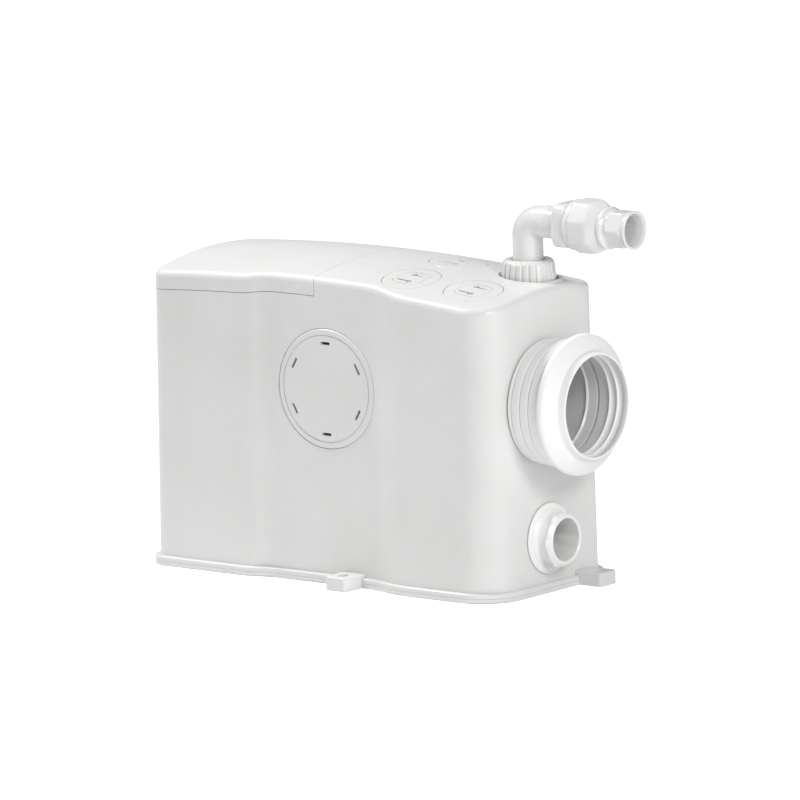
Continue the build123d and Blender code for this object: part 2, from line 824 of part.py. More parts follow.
def make_vent_cover():
    """Round, slightly domed cover with six slots; it turns on its middle pin."""
    rim = 0.3
    crown = ThreePointArc((0, disc_dome), (disc_radius * 0.55, disc_dome - 0.62), (disc_radius - 1.0, rim + 0.5))
    edge = Polyline(
        (disc_radius - 1.0, rim + 0.5),
        (disc_radius, rim - 0.4),
        (disc_radius, -vent_pocket_depth + 2.6),
        (disc_radius - cover_skirt, -vent_pocket_depth + 2.6),
        (disc_radius - cover_skirt, -2.4),
        (cover_hub_radius + 3, -2.4),
        (cover_hub_radius + 3, -5.0),
        (cover_hub_radius, -5.0),
        (cover_hub_radius, -vent_pocket_depth),
        (0, -vent_pocket_depth),
        (0, disc_dome),
    )
    outline = Plane.XZ * make_face([crown, edge])
    cover = revolve(outline, Axis.Z, 360)
    groove = tube_z(cover_groove_radius + 0.6, cover_groove_radius - 0.6, rim + 0.0, 5)
    cover -= groove
    for k in range(6):
        angle = 30 + 60 * k
        slot = Rot(0, 0, angle) * Pos(slot_ring_radius, 0, -3) * Rot(0, 0, 90) * SlotOverall(slot_length, slot_width)
        cover -= extrude(slot, 10)
    return vent_place * cover


def make_filter():
    """Odour filter pad that fills the vent pocket."""
    outer = disc_radius - cover_skirt - filter_gap
    pad = tube_z(outer, cover_hub_radius + 3.6, -vent_pocket_depth + 2, -2.4 - loose_fit)
    return vent_place * pad


# Discharge: riser pipe, union nut, elbow and non-return valve

spout_y = 27.0
spout_z = 24.0
spout_radius = 13.3
spout_bore = 10.5
spout_end_x = 92.0
coupling_radius = 16.3
riser_back_y = 62.0
riser_turn_z = 222.0
riser_thread_radius = 20.0
riser_thread_low = 276.0
riser_top_z = 299.0
elbow_collar_radius = 18.5
elbow_collar_height = 3.0
nut_lip = 2.5
seal_gap = 0.5


def bend_path(points, radii):
    """Line through the points with an arc of the given radius at each inner one."""
    spots = [Vector(*point) for point in points]
    parts = []
    start = spots[0]
    for before, corner, after, radius in zip(spots, spots[1:], spots[2:], radii):
        back = (before - corner).normalized()
        on = (after - corner).normalized()
        half = radians(back.get_angle(on)) / 2
        reach = radius / tan(half)
        first = corner + back * reach
        last = corner + on * reach
        middle = corner + (back + on).normalized() * (radius / sin(half) - radius)
        parts.append(Line(start, first))
        parts.append(ThreePointArc(first, middle, last))
        start = last
    parts.append(Line(start, spots[-1]))
    return Wire(parts)


def swept(path, radius):
    """Round rod along a path."""
    return sweep(Plane(origin=path @ 0, z_dir=path % 0) * Circle(radius), path=path)


def make_riser():
    """Discharge pipe from the pump round the inlet side and up into the top well."""
    middle = (riser_x, riser_back_y)
    low = riser_turn_z
    high = riser_turn_z + 24
    points = [
        (spout_end_x + loose_fit, spout_y, spout_z),
        (120, spout_y, spout_z),
        (middle[0], middle[1], spout_z),
        (middle[0], middle[1], low),
        (riser_x, riser_y, high),
        (riser_x, riser_y, riser_top_z),
    ]
    path = bend_path(points, [25, 22, 18, 18])
    pipe = swept(path, spout_radius)
    thread = rod_z(riser_thread_radius - 1.2, riser_thread_low, riser_top_z, riser_x, riser_y)
    for k in range(5):
        low = riser_thread_low + 3 + 4 * k
        thread += rod_z(riser_thread_radius, low, low + 2.2, riser_x, riser_y)
    pipe += thread
    pipe += rod_z(riser_thread_radius + 3.4, riser_seat_z + 3.0, riser_seat_z + 6, riser_x, riser_y)
    pipe -= swept(path, spout_bore)
    groove = tube_z(17.3, 14.3, riser_top_z - 1.3, riser_top_z + 1, riser_x, riser_y)
    return pipe - groove


def make_coupling():
    """Rubber sleeve that joins the pump spout to the riser."""
    start = spout_end_x - 12
    return tube_x(coupling_radius, spout_radius + 0.05, start, start + 26, spout_y, spout_z)


def make_elbow_seal():
    return Pos(riser_x, riser_y, riser_top_z - 0.4) * Torus(15.8, 0.85)


def make_union_nut():
    """Fluted nut round the riser: threaded bore, lip over the elbow's collar, bevelled top."""
    low = nut_top_z - nut_height
    bore = riser_thread_radius + running_fit
    nut = turned_z(
        [
            (bore, low),
            (nut_radius - 1.5, low),
            (nut_radius, low + 1.5),
            (nut_radius, nut_top_z - 3.2),
            (nut_radius - 2.6, nut_top_z),
            (pipe_radius + 0.45, nut_top_z),
            (pipe_radius + 0.45, nut_top_z - nut_lip),
            (bore, nut_top_z - nut_lip),
        ],
        riser_x,
        riser_y,
    )
    for k in range(24):
        angle = 15 * k
        flute = Rot(0, 0, angle) * Pos(nut_radius + 1.1, 0, 0) * Cylinder(2.0, 60)
        nut -= Pos(riser_x, riser_y, low) * flute
    return nut


arm_end_x = 205.5
sleeve_ring_x = 183.0
adaptor_x = 191.4
collar_x = 206.0
valve_x = 211.0
valve_nut_x = 229.0
valve_nut_end_x = 255.0
tail_ring_x = 255.5
tail_tube_x = 263.5
tail_lip_x = 277.5
outlet_end_x = 286.8
adaptor_corner = 20.3
valve_body_radius = 25.5
valve_thread_radius = 22.0
valve_chamber_radius = 19.5
seat_radius = 11.5
valve_nut_lip_x = 247.0
tail_radius = 18.0
valve_flap_radius = 15.0
valve_flap_thick = 2.0
valve_hinge_up = 16.0
valve_pin_radius = 1.0
valve_open = 50.0


def make_elbow():
    """Swivel elbow: collar under the nut, tight bend and the arm to the valve."""
    start = (riser_x, riser_y, riser_top_z + seal_gap)
    path = bend_path([start, (riser_x, riser_y, outlet_z), (arm_end_x, riser_y, outlet_z)], [bend_radius])
    elbow = swept(path, pipe_radius)
    low = riser_top_z + seal_gap
    elbow += rod_z(elbow_collar_radius, low, low + elbow_collar_height, riser_x, riser_y)
    ring = rod_x(pipe_radius + 0.85, sleeve_ring_x, adaptor_x, riser_y, outlet_z)
    elbow += ring
    return elbow - swept(path, pipe_bore_radius)


def make_adaptor():
    """Eight-sided socket glued on the elbow's arm, with the thin round collar of the valve."""
    octagon = Pos(adaptor_x + 0.1, riser_y, outlet_z) * (
        Plane.YZ * extrude(RegularPolygon(adaptor_corner, 8), collar_x - adaptor_x - 0.1)
    )
    shape = turned_x(
        [
            (adaptor_x, 0),
            (adaptor_x, adaptor_corner - 2.2),
            (adaptor_x + 1.6, adaptor_corner - 0.4),
            (adaptor_x + 3.0, adaptor_corner + 1),
            (collar_x + 1, adaptor_corner + 1),
            (collar_x + 1, 0),
        ],
        riser_y,
        outlet_z,
    )
    collar = turned_x(
        [
            (collar_x - 0.5, 0),
            (collar_x - 0.5, valve_collar_radius - 0.7),
            (collar_x, valve_collar_radius),
            (valve_x - 0.7, valve_collar_radius),
            (valve_x, valve_collar_radius - 0.7),
            (valve_x, 0),
        ],
        riser_y,
        outlet_z,
    )
    body = (octagon & shape) + collar
    body -= rod_x(pipe_radius + running_fit, adaptor_x - 1, arm_end_x + 0.2, riser_y, outlet_z)
    return body - rod_x(seat_radius, arm_end_x - 2, valve_x + 1, riser_y, outlet_z)


def make_valve_body():
    """Flap chamber: six rounded sides outside, thread for the union nut, seat inside."""
    hexagon = Plane.YZ * extrude(RegularPolygon(valve_body_radius + 2.6, 6), valve_nut_x - valve_x)
    body = Pos(valve_x + 0.1, riser_y, outlet_z) * hexagon
    shape = turned_x(
        [
            (valve_x, 0),
            (valve_x, valve_body_radius - 1.4),
            (valve_x + 1.4, valve_body_radius),
            (valve_nut_x - 1.4, valve_body_radius),
            (valve_nut_x, valve_body_radius - 1.4),
            (valve_nut_x, 0),
        ],
        riser_y,
        outlet_z,
    )
    body = body & shape
    body += rod_x(valve_thread_radius - 0.8, valve_nut_x - 1, valve_nut_x + 12, riser_y, outlet_z)
    for k in range(3):
        start = valve_nut_x + 1.8 + 3.6 * k
        body += rod_x(valve_thread_radius, start, start + 2.0, riser_y, outlet_z)
    body -= rod_x(valve_chamber_radius, valve_x + 3.2, valve_nut_x + 20, riser_y, outlet_z)
    body += tube_x(seat_radius + 2.0, seat_radius, valve_x + 2.0, valve_x + 4.4, riser_y, outlet_z)
    body -= rod_x(seat_radius, valve_x - 1, valve_x + 10, riser_y, outlet_z)
    pin_x = valve_x + 4.4 + loose_fit + valve_flap_thick / 2 + 1.0
    body -= rod_y(valve_pin_radius + 0.02, riser_y - 13.5, riser_y + 13.5, pin_x, outlet_z + valve_hinge_up)
    return body


valve_pin_x = valve_x + 4.4 + loose_fit + valve_flap_thick / 2 + 1.0


def make_valve_flap():
    """Round flap hung from its pin in front of the valve seat."""
    start = valve_x + 4.4 + loose_fit
    disc = rod_x(valve_flap_radius, start, start + valve_flap_thick, riser_y, outlet_z)
    pin_z = outlet_z + valve_hinge_up
    arm = block(start, start + valve_flap_thick, riser_y - 5, riser_y + 5, outlet_z + 8, pin_z)
    barrel = rod_y(1.9, riser_y - 6, riser_y + 6, valve_pin_x, pin_z)
    flap = disc + arm + barrel
    return flap - rod_y(valve_pin_radius + running_fit, riser_y - 7, riser_y + 7, valve_pin_x, pin_z)


def make_valve_pin():
    return rod_y(valve_pin_radius, riser_y - 13.2, riser_y + 13.2, valve_pin_x, outlet_z + valve_hinge_up)


def make_valve_nut():
    """Lobed union nut of the valve, rounded towards the outlet."""
    bore = valve_thread_radius + running_fit
    radius = valve_collar_radius + 0.2
    nut = turned_x(
        [
            (valve_nut_x + 0.3, bore),
            (valve_nut_x + 0.3, radius - 1.2),
            (valve_nut_x + 1.5, radius),
            (valve_nut_end_x - 6.5, radius),
            (valve_nut_end_x - 3.2, radius - 1.4),
            (valve_nut_end_x - 1.2, radius - 4.2),
            (valve_nut_end_x, tail_radius + 1.4),
            (valve_nut_end_x, tail_radius + 0.3),
            (valve_nut_lip_x, tail_radius + 0.3),
            (valve_nut_lip_x, bore),
        ],
        riser_y,
        outlet_z,
    )
    for k in range(12):
        turn = Rot(30 * k, 0, 0)
        flute = turn * Pos(0, 0, radius + 3.2) * Rot(0, 90, 0) * Cylinder(4.6, 34)
        nut -= Pos(valve_nut_x + 8.5, riser_y, outlet_z) * flute
    return nut


def make_valve_seal():
    """Ring between the chamber's threaded end and the tail flange."""
    return Pos(valve_nut_x + 12 + seal_gap / 2, riser_y, outlet_z) * Rot(0, 90, 0) * tube_z(
        valve_thread_radius - 1.2, valve_chamber_radius - 0.2, -seal_gap / 2, seal_gap / 2
    )


def make_valve_tail():
    """Outlet tail: flange under the nut, ribbed ring, plain tube and a stepped end lip."""
    flange_x = valve_nut_x + 12 + seal_gap
    points = [
        (flange_x, outlet_bore_radius + 2),
        (flange_x, valve_thread_radius - 0.6),
        (valve_nut_lip_x - loose_fit, valve_thread_radius - 0.6),
        (valve_nut_lip_x - loose_fit, tail_radius),
        (tail_ring_x, tail_radius),
        (tail_ring_x, tail_radius + 1.0),
        (tail_ring_x + 0.4, tail_radius + 1.3),
        (tail_tube_x - 0.4, tail_radius + 1.3),
        (tail_tube_x, tail_radius + 0.9),
        (tail_tube_x, tail_radius),
        (tail_lip_x, tail_radius),
        (tail_lip_x + 0.6, tail_radius - 0.9),
        (outlet_end_x - 1.0, tail_radius - 0.9),
        (outlet_end_x, tail_radius - 1.8),
        (outlet_end_x, outlet_bore_radius + 0.6),
        (outlet_end_x - 0.6, outlet_bore_radius),
        (flange_x + 5, outlet_bore_radius),
    ]
    tail = turned_x(points, riser_y, outlet_z)
    for k in range(12):
        turn = Rot(30 * k + 15, 0, 0)
        flat = turn * Pos(0, 0, tail_radius + 1.3 + 9.6) * Box(5.4, 20, 20)
        tail -= Pos((tail_ring_x + tail_tube_x) / 2, riser_y, outlet_z) * flat
    return tail


# Pump: volute, impeller, grinder and chute

cover_thick = 3.0
volute_wall = 3.0
cavity_radius = impeller_radius + 2.5
volute_low = pump_floor_z + cover_thick
volute_top = pump_floor_z + volute_height
cavity_top = volute_top - 7.0
eye_radius = 14.0
seal_radius = 11.0
basket_wall = 2.5
basket_low = volute_top
basket_floor = 3.0
cutter_z = basket_low + 18.0
chute_half_width = 38.0
chute_wall = 3.0
chute_end_x = 196.0
chute_low_z = 90.0
chute_high_z = 116.0
chute_side = 12.0


def make_volute():
    """Pump casing with its tangential spout, open below for the cover plate."""
    casing = rod_z(volute_radius, volute_low, volute_top, pump_x, pump_y)
    casing = chamfer(casing.edges().sort_by(Axis.Z)[-1], 2.0)
    spout = rod_x(spout_radius, pump_x, spout_end_x, spout_y, spout_z)
    casing += spout
    for k in range(3):
        angle = radians(60 + 120 * k)
        x = pump_x + (volute_radius - 1) * cos(angle)
        y = pump_y + (volute_radius - 1) * sin(angle)
        casing += rod_z(5.0, volute_low, volute_low + 10, x, y) - rod_x(spout_bore, pump_x, 70, spout_y, spout_z)
    casing -= rod_z(cavity_radius, volute_low - 1, cavity_top, pump_x, pump_y)
    casing -= rod_x(spout_bore, pump_x, spout_end_x + 1, spout_y, spout_z) & rod_z(
        60, volute_low + 2, cavity_top, pump_x, pump_y
    )
    casing -= rod_z(shaft_radius + 1.5, cavity_top - 1, volute_top + 1, pump_x, pump_y)
    casing -= rod_z(seal_radius, volute_top - 5, volute_top + 1, pump_x, pump_y)
    for k in range(3):
        angle = radians(60 + 120 * k)
        x = pump_x + (volute_radius - 1) * cos(angle)
        y = pump_y + (volute_radius - 1) * sin(angle)
        casing -= rod_z(base_screw_radius, volute_low - 1, volute_low + 8, x, y)
    return casing


def volute_screw_places():
    return [
        (
            pump_x + (volute_radius - 1) * cos(radians(60 + 120 * k)),
            pump_y + (volute_radius - 1) * sin(radians(60 + 120 * k)),
        )
        for k in range(3)
    ]


def make_volute_cover():
    """Suction plate with the eye in its middle; three feet stand on the tank floor."""
    plate = rod_z(volute_radius + 1, pump_floor_z, volute_low - 0.1, pump_x, pump_y)
    plate -= rod_z(eye_radius, 0, 30, pump_x, pump_y)
    for x, y in volute_screw_places():
        plate -= rod_z(base_screw_radius + 0.3, 0, 30, x, y)
        plate -= rod_z(base_screw_radius * 2 + 0.2, 0, pump_floor_z + 1.4, x, y)
    for k in range(3):
        angle = radians(120 * k)
        x = pump_x + (volute_radius - 7) * cos(angle)
        y = pump_y + (volute_radius - 7) * sin(angle)
        plate += rod_z(5.0, base_floor_top, pump_floor_z + 1, x, y)
    return plate


def make_volute_screws():
    screws = []
    for x, y in volute_screw_places():
        shank = rod_z(base_screw_radius - 0.1, pump_floor_z, volute_low + 7, x, y)
        head = rod_z(base_screw_radius * 2, pump_floor_z - 0.6, pump_floor_z + 1.4, x, y)
        screws.append(shank + head)
    return screws


def make_impeller():
    """Open impeller: hub, back plate and five curved vanes that face the suction plate."""
    low = volute_low + 1.0
    plate_low = cavity_top - 4.0
    wheel = rod_z(impeller_radius, plate_low, cavity_top - 1.0, pump_x, pump_y)
    hub = rod_z(9.5, low, cavity_top - 1.0, pump_x, pump_y)
    vane_arc = ThreePointArc((6.0, 0.0), (22.0, 7.5), (impeller_radius - 0.5, 0.5))
    vane_plan = offset(vane_arc, 1.3)
    vane = extrude(Pos(0, 0, low) * make_face(vane_plan), plate_low - low + 0.5)
    impeller = wheel + hub
    for k in range(5):
        impeller += Pos(pump_x, pump_y, 0) * Rot(0, 0, 72 * k) * vane
    return impeller - rod_z(shaft_radius, low + 3, volute_top, pump_x, pump_y)


def make_basket():
    """Grinder basket: slotted drum on the volute with a side window for the chute."""
    drum = tube_z(basket_radius, basket_radius - basket_wall, basket_low, basket_low + basket_height, pump_x, pump_y)
    floor = tube_z(basket_radius, shaft_radius + 1.0, basket_low, basket_low + basket_floor, pump_x, pump_y)
    lip = tube_z(
        basket_radius + 3, basket_radius - basket_wall, basket_low + basket_height - 3, basket_low + basket_height,
        pump_x, pump_y,
    )
    basket = drum + floor + lip
    for k in range(24):
        slot = Rot(0, 0, 15 * k) * Pos(basket_radius, 0, 0) * Box(12, 4.5, 28)
        basket -= Pos(pump_x, pump_y, basket_low + basket_floor + 17) * slot
    for k in range(12):
        hole = Rot(0, 0, 30 * k) * Pos(basket_radius * 0.62, 0, 0) * Cylinder(4.0, 20)
        basket -= Pos(pump_x, pump_y, basket_low) * hole
    inner = chute_half_width - chute_wall - 4
    basket -= block(pump_x, pump_x + 60, pump_y - inner, pump_y + inner, chute_low_z, basket_low + basket_height - 3)
    return basket


def make_cutter():
    """Two-armed cutter blade with turned-up ends on the shaft."""
    blade = block(-cutter_radius, cutter_radius, -7, 7, cutter_z, cutter_z + 3) & rod_z(
        cutter_radius, cutter_z, cutter_z + 3
    )
    for side in (-1, 1):
        tip = Pos(side * (cutter_radius - 3.5), 0, cutter_z + 6) * Box(3, 12, 12)
        edge = Pos(side * (cutter_radius - 3.5), 0, cutter_z + 14) * Rot(35, 0, 0) * Box(8, 20, 8)
        blade += tip - edge
    blade += rod_z(12, cutter_z, cutter_z + 9)
    return Pos(pump_x, pump_y, 0) * blade - rod_z(shaft_radius, cutter_z - 1, cutter_z + 20, pump_x, pump_y)


def make_chute():
    """Open trough that leads from the pan inlet down to the grinder's window, on two legs."""
    start_x = pump_x + 30
    rise = (chute_high_z - chute_low_z) / (chute_end_x - start_x)

    def floor_z(x):
        return chute_low_z + rise * (x - start_x)

    def side_face(shift, lift):
        return make_face(
            Plane.XZ
            * Polyline(
                (start_x, floor_z(start_x) + shift),
                (chute_end_x, floor_z(chute_end_x) + shift),
                (chute_end_x, floor_z(chute_end_x) + lift),
                (start_x, floor_z(start_x) + lift),
                close=True,
            )
        )

    outer = extrude(side_face(0, chute_side), chute_half_width, both=True)
    inner = extrude(side_face(chute_wall, chute_side + 5), chute_half_width - chute_wall, both=True)
    chute = Pos(0, inlet_y, 0) * (outer - inner)
    for side in (-1, 1):
        y = inlet_y + side * (chute_half_width - 5)
        leg_x = chute_end_x - 10
        chute += rod_z(4.5, base_floor_top, floor_z(leg_x) + 1, leg_x, y)
    return chute - rod_z(basket_radius + loose_fit, 0, 200, pump_x, pump_y) - rod_z(
        basket_radius + 3 + loose_fit, basket_low + basket_height - 3.3, 200, pump_x, pump_y
    )


# Motor: deck, housing, bearings, stator and rotor

deck_half_x = 56.0
deck_half_y = 57.0
deck_top = deck_z + deck_thickness
bearing_radius = 16.0
bearing_height = 10.0
bearing_boss = 20.0
housing_wall = 3.0
housing_flange = 54.0
housing_screw_ring = 50.0
stator_low = deck_top + 24.0
stator_height = 42.0
stator_bore = 24.0
rotor_gap = 0.5
motor_top = deck_top + motor_height
cap_thick = 4.0


def housing_screw_places():
    return [
        (pump_x + housing_screw_ring * cos(radians(45 + 90 * k)), pump_y + housing_screw_ring * sin(radians(45 + 90 * k)))
        for k in range(4)
    ]


def make_deck():
    """Plate on the four posts with the lower bearing seat and the shaft seal's bore."""
    plan = Pos(pump_x, pump_y, deck_z) * RectangleRounded(deck_half_x * 2, deck_half_y * 2, 8)
    deck = extrude(plan, deck_thickness)
    deck += rod_z(bearing_boss, deck_z, deck_top + 1 + bearing_height, pump_x, pump_y)
    deck -= rod_z(seal_radius, deck_z - 1, deck_top - 1, pump_x, pump_y)
    deck -= rod_z(shaft_radius + 2, deck_z - 1, deck_top + 20, pump_x, pump_y)
    deck -= rod_z(bearing_radius, deck_top + 1, deck_top + 30, pump_x, pump_y)
    for x, y in post_places:
        deck -= rod_z(base_screw_radius + 0.3, deck_z - 1, deck_top + 1, x, y)
    for x, y in housing_screw_places():
        deck -= rod_z(base_screw_radius, deck_z - 1, deck_top + 1, x, y)
    return deck


def make_deck_screws():
    screws = []
    for x, y in post_places:
        shank = rod_z(base_screw_radius - 0.1, deck_z - 12, deck_top + 0.5, x, y)
        head = rod_z(base_screw_radius * 2, deck_top + 0.02, deck_top + 2.4, x, y)
        slot = Pos(x, y, deck_top + 2.4) * Box(5, 0.9, 1.6)
        screws.append(shank + head - slot)
    return screws


def make_bearing(low):
    """Ball bearing taken as one closed ring."""
    ring = tube_z(bearing_radius, shaft_radius + running_fit, low, low + bearing_height, pump_x, pump_y)
    for z in (low, low + bearing_height):
        ring -= tube_z(13.5, 8.5, z - 0.6, z + 0.6, pump_x, pump_y)
    return ring


def make_housing():
    """Motor can with cooling ribs and a screwed flange; the end cap closes it above."""
    can = tube_z(motor_radius, motor_radius - housing_wall, deck_top, motor_top, pump_x, pump_y)
    flange = tube_z(housing_flange, motor_radius - housing_wall, deck_top, deck_top + 4, pump_x, pump_y)
    can += flange
    for k in range(24):
        rib = Rot(0, 0, 15 * k + 7.5) * Pos(motor_radius + 1.0, 0, 0) * Box(3.4, 2.0, motor_height - 16)
        can += Pos(pump_x, pump_y, deck_top + 4 + (motor_height - 16) / 2) * rib
    for x, y in housing_screw_places():
        can -= rod_z(base_screw_radius + 0.3, deck_top - 1, deck_top + 10, x, y)
        can -= rod_z(base_screw_radius * 2 + 0.4, deck_top + 4, deck_top + 30, x, y)
    return can


def make_housing_screws():
    screws = []
    for x, y in housing_screw_places():
        shank = rod_z(base_screw_radius - 0.1, deck_z, deck_top + 4.5, x, y)
        head = rod_z(base_screw_radius * 2, deck_top + 4.02, deck_top + 6.4, x, y)
        slot = Pos(x, y, deck_top + 6.4) * Box(5, 0.9, 1.6)
        screws.append(shank + head - slot)
    return screws


def make_end_cap():
    """Top cap of the motor with the upper bearing seat."""
    cap = rod_z(motor_radius, motor_top, motor_top + cap_thick, pump_x, pump_y)
    cap = fillet(cap.edges().sort_by(Axis.Z)[-1], 2.5)
    cap += rod_z(motor_radius - housing_wall - 0.1, motor_top - 4, motor_top + 1, pump_x, pump_y)
    cap -= rod_z(motor_radius - housing_wall - 3, motor_top - 5, motor_top, pump_x, pump_y)
    cap += rod_z(bearing_boss, motor_top - bearing_height, motor_top + 1, pump_x, pump_y)
    return cap - rod_z(bearing_radius, motor_top - bearing_height - 1, motor_top, pump_x, pump_y)


def make_stator():
    """Laminated stator ring with twelve winding slots."""
    outer = motor_radius - housing_wall - 0.1
    core = tube_z(outer, stator_bore, stator_low, stator_low + stator_height, pump_x, pump_y)
    for k in range(12):
        slot = Rot(0, 0, 30 * k) * Pos(stator_bore + 6, 0, 0) * (
            Box(11, 5.0, 100) + Pos(-6, 0, 0) * Box(6, 2.0, 100)
        )
        core -= Pos(pump_x, pump_y, stator_low + stator_height / 2) * slot
    return core


def make_windings():
    """Upper and lower winding heads on the stator."""
    rings = []
    for low in (stator_low - 9.1, stator_low + stator_height + 0.1):
        ring = tube_z(38.0, 26.0, low, low + 9.0, pump_x, pump_y)
        ring = fillet(ring.edges().filter_by(GeomType.CIRCLE), 2.5)
        rings.append(ring)
    return Compound(rings)


def make_rotor():
    core = tube_z(
        stator_bore - rotor_gap, shaft_radius + 0.02, stator_low, stator_low + stator_height, pump_x, pump_y
    )
    return core


def make_shaft():
    """Motor shaft from the impeller to the upper bearing."""
    return rod_z(shaft_radius - 0.02, volute_low + 4.2, motor_top - 0.5, pump_x, pump_y)


def make_shaft_seal(low, height):
    """Lip seal ring round the shaft."""
    ring = tube_z(seal_radius - 0.05, shaft_radius + 0.1, low, low + height, pump_x, pump_y)
    return ring - tube_z(seal_radius - 2.5, shaft_radius + 1.2, low + 1.2, low + height + 1, pump_x, pump_y)


# Assembly: each piece in its own file

pieces = {
    "tank_base": make_base(),
    "base_gasket": make_base_gasket(),
    "base_screws": make_base_screws(),
    "tank_hood": make_hood(),
    "service_lid": make_lid(),
    "lid_gasket": make_lid_gasket(),
    "service_tray": make_tray(),
    "pressure_bell": make_chamber(),
    "bell_membrane": make_membrane(),
    "bell_dome": make_dome(),
    "switch_plunger": make_plunger(),
    "micro_switch": make_switch(),
    "capacitor": make_capacitor(),
    "capacitor_clip": make_capacitor_clip(),
    "terminal_block": make_terminal_block(),
    "terminal_screws": make_terminal_screws(),
    "gland_body": make_gland_body(),
    "gland_lock_nut": make_gland_lock_nut(),
    "gland_dome_nut": make_gland_dome(),
    "inlet_sleeve": make_sleeve(),
    "waste_inlet": make_waste_inlet(),
    "waste_seal": make_waste_seal(),
    "waste_lock_nut": make_waste_lock_nut(),
    "waste_flap": make_waste_flap(),
    "waste_flap_pin": make_flap_pin(),
    "vent_cover": make_vent_cover(),
    "filter_pad": make_filter(),
    "riser_pipe": make_riser(),
    "riser_coupling": make_coupling(),
    "elbow_seal": make_elbow_seal(),
    "union_nut": make_union_nut(),
    "outlet_elbow": make_elbow(),
    "valve_adaptor": make_adaptor(),
    "valve_body": make_valve_body(),
    "valve_flap": make_valve_flap(),
    "valve_flap_pin": make_valve_pin(),
    "valve_seal": make_valve_seal(),
    "valve_union_nut": make_valve_nut(),
    "valve_tail": make_valve_tail(),
    "pump_volute": make_volute(),
    "volute_cover": make_volute_cover(),
    "shaft_seals": Compound(
        [make_shaft_seal(volute_top - 5, 4.8), make_shaft_seal(deck_z, deck_thickness - 1.2)]
    ),
    "impeller": make_impeller(),
    "grinder_basket": make_basket(),
    "cutter_blade": make_cutter(),
    "inlet_chute": make_chute(),
    "motor_deck": make_deck(),
    "pump_screws": Compound(make_volute_screws() + make_deck_screws() + make_housing_screws()),
    "shaft_bearings": Compound([make_bearing(deck_top + 1), make_bearing(motor_top - bearing_height)]),
    "motor_housing": make_housing(),
    "motor_end_cap": make_end_cap(),
    "stator_core": make_stator(),
    "stator_windings": make_windings(),
    "rotor_core": make_rotor(),
    "motor_shaft": make_shaft(),
}
pieces["port_seals"] = make_port_seals()
for name, (x, y) in cap_places.items():
    pieces[f"port_cap_{name}"] = make_cap(x, y)

for name, piece in pieces.items():
    export_step(piece, f"parts/{name}.step")
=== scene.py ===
"""Looks of a white domestic sewage pump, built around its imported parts."""

import json
import logging
import math
from collections.abc import Callable
from dataclasses import dataclass
from enum import Enum

import bmesh
import bpy
from mathutils import Matrix, Vector

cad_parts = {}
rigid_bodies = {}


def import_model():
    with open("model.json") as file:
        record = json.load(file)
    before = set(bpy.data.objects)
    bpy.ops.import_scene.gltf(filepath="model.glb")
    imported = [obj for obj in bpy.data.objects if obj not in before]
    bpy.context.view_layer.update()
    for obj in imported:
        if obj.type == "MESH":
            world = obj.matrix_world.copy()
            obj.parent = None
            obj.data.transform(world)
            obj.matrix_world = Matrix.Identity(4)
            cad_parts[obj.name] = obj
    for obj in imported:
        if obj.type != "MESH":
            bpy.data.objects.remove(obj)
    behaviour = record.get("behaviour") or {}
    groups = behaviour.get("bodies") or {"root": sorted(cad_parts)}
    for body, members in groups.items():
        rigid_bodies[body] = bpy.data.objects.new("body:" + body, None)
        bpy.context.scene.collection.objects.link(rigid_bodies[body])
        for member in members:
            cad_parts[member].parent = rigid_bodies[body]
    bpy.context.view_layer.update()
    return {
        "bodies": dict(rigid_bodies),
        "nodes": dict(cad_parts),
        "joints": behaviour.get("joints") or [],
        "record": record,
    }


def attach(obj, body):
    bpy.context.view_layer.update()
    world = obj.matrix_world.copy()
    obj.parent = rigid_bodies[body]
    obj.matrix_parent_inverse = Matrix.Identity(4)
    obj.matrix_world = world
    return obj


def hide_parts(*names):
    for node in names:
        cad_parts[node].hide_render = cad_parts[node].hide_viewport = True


LOG = logging.getLogger("sewage_pump")
MM = 0.001
FADE_LIMIT = 8.0

Node = bpy.types.Node
Socket = bpy.types.NodeSocket
Tree = bpy.types.NodeTree
Colour = tuple[float, float, float]
Corner = tuple[float, float, float]
RadiusAt = Callable[[float, float, float], float]


class Along(Enum):
    """The line that a piece is turned about."""

    X = "x"
    Z = "z"


class Surface(Enum):
    """Kinds of base texture that a finish can carry."""

    MOULDED = "moulded"
    RUBBER = "rubber"
    BRUSHED = "brushed"
    CAST = "cast"
    FOAM = "foam"
    WOUND = "wound"
    LAYERED = "layered"


@dataclass(frozen=True)
class Finish:
    """One real finish of the pump, with the sizes of its texture in metres."""

    name: str
    colour: Colour
    shade: Colour
    surface: Surface
    roughness: float
    roughness_spread: float = 0.05
    metallic: float = 0.0
    grain: float = 0.0008
    depth: float = 0.00002
    # Strength of the painted shade that darkens the hollows in the base colour.
    painted_shade: float = 0.15
    coat: float = 0.0
    subsurface: float = 0.0


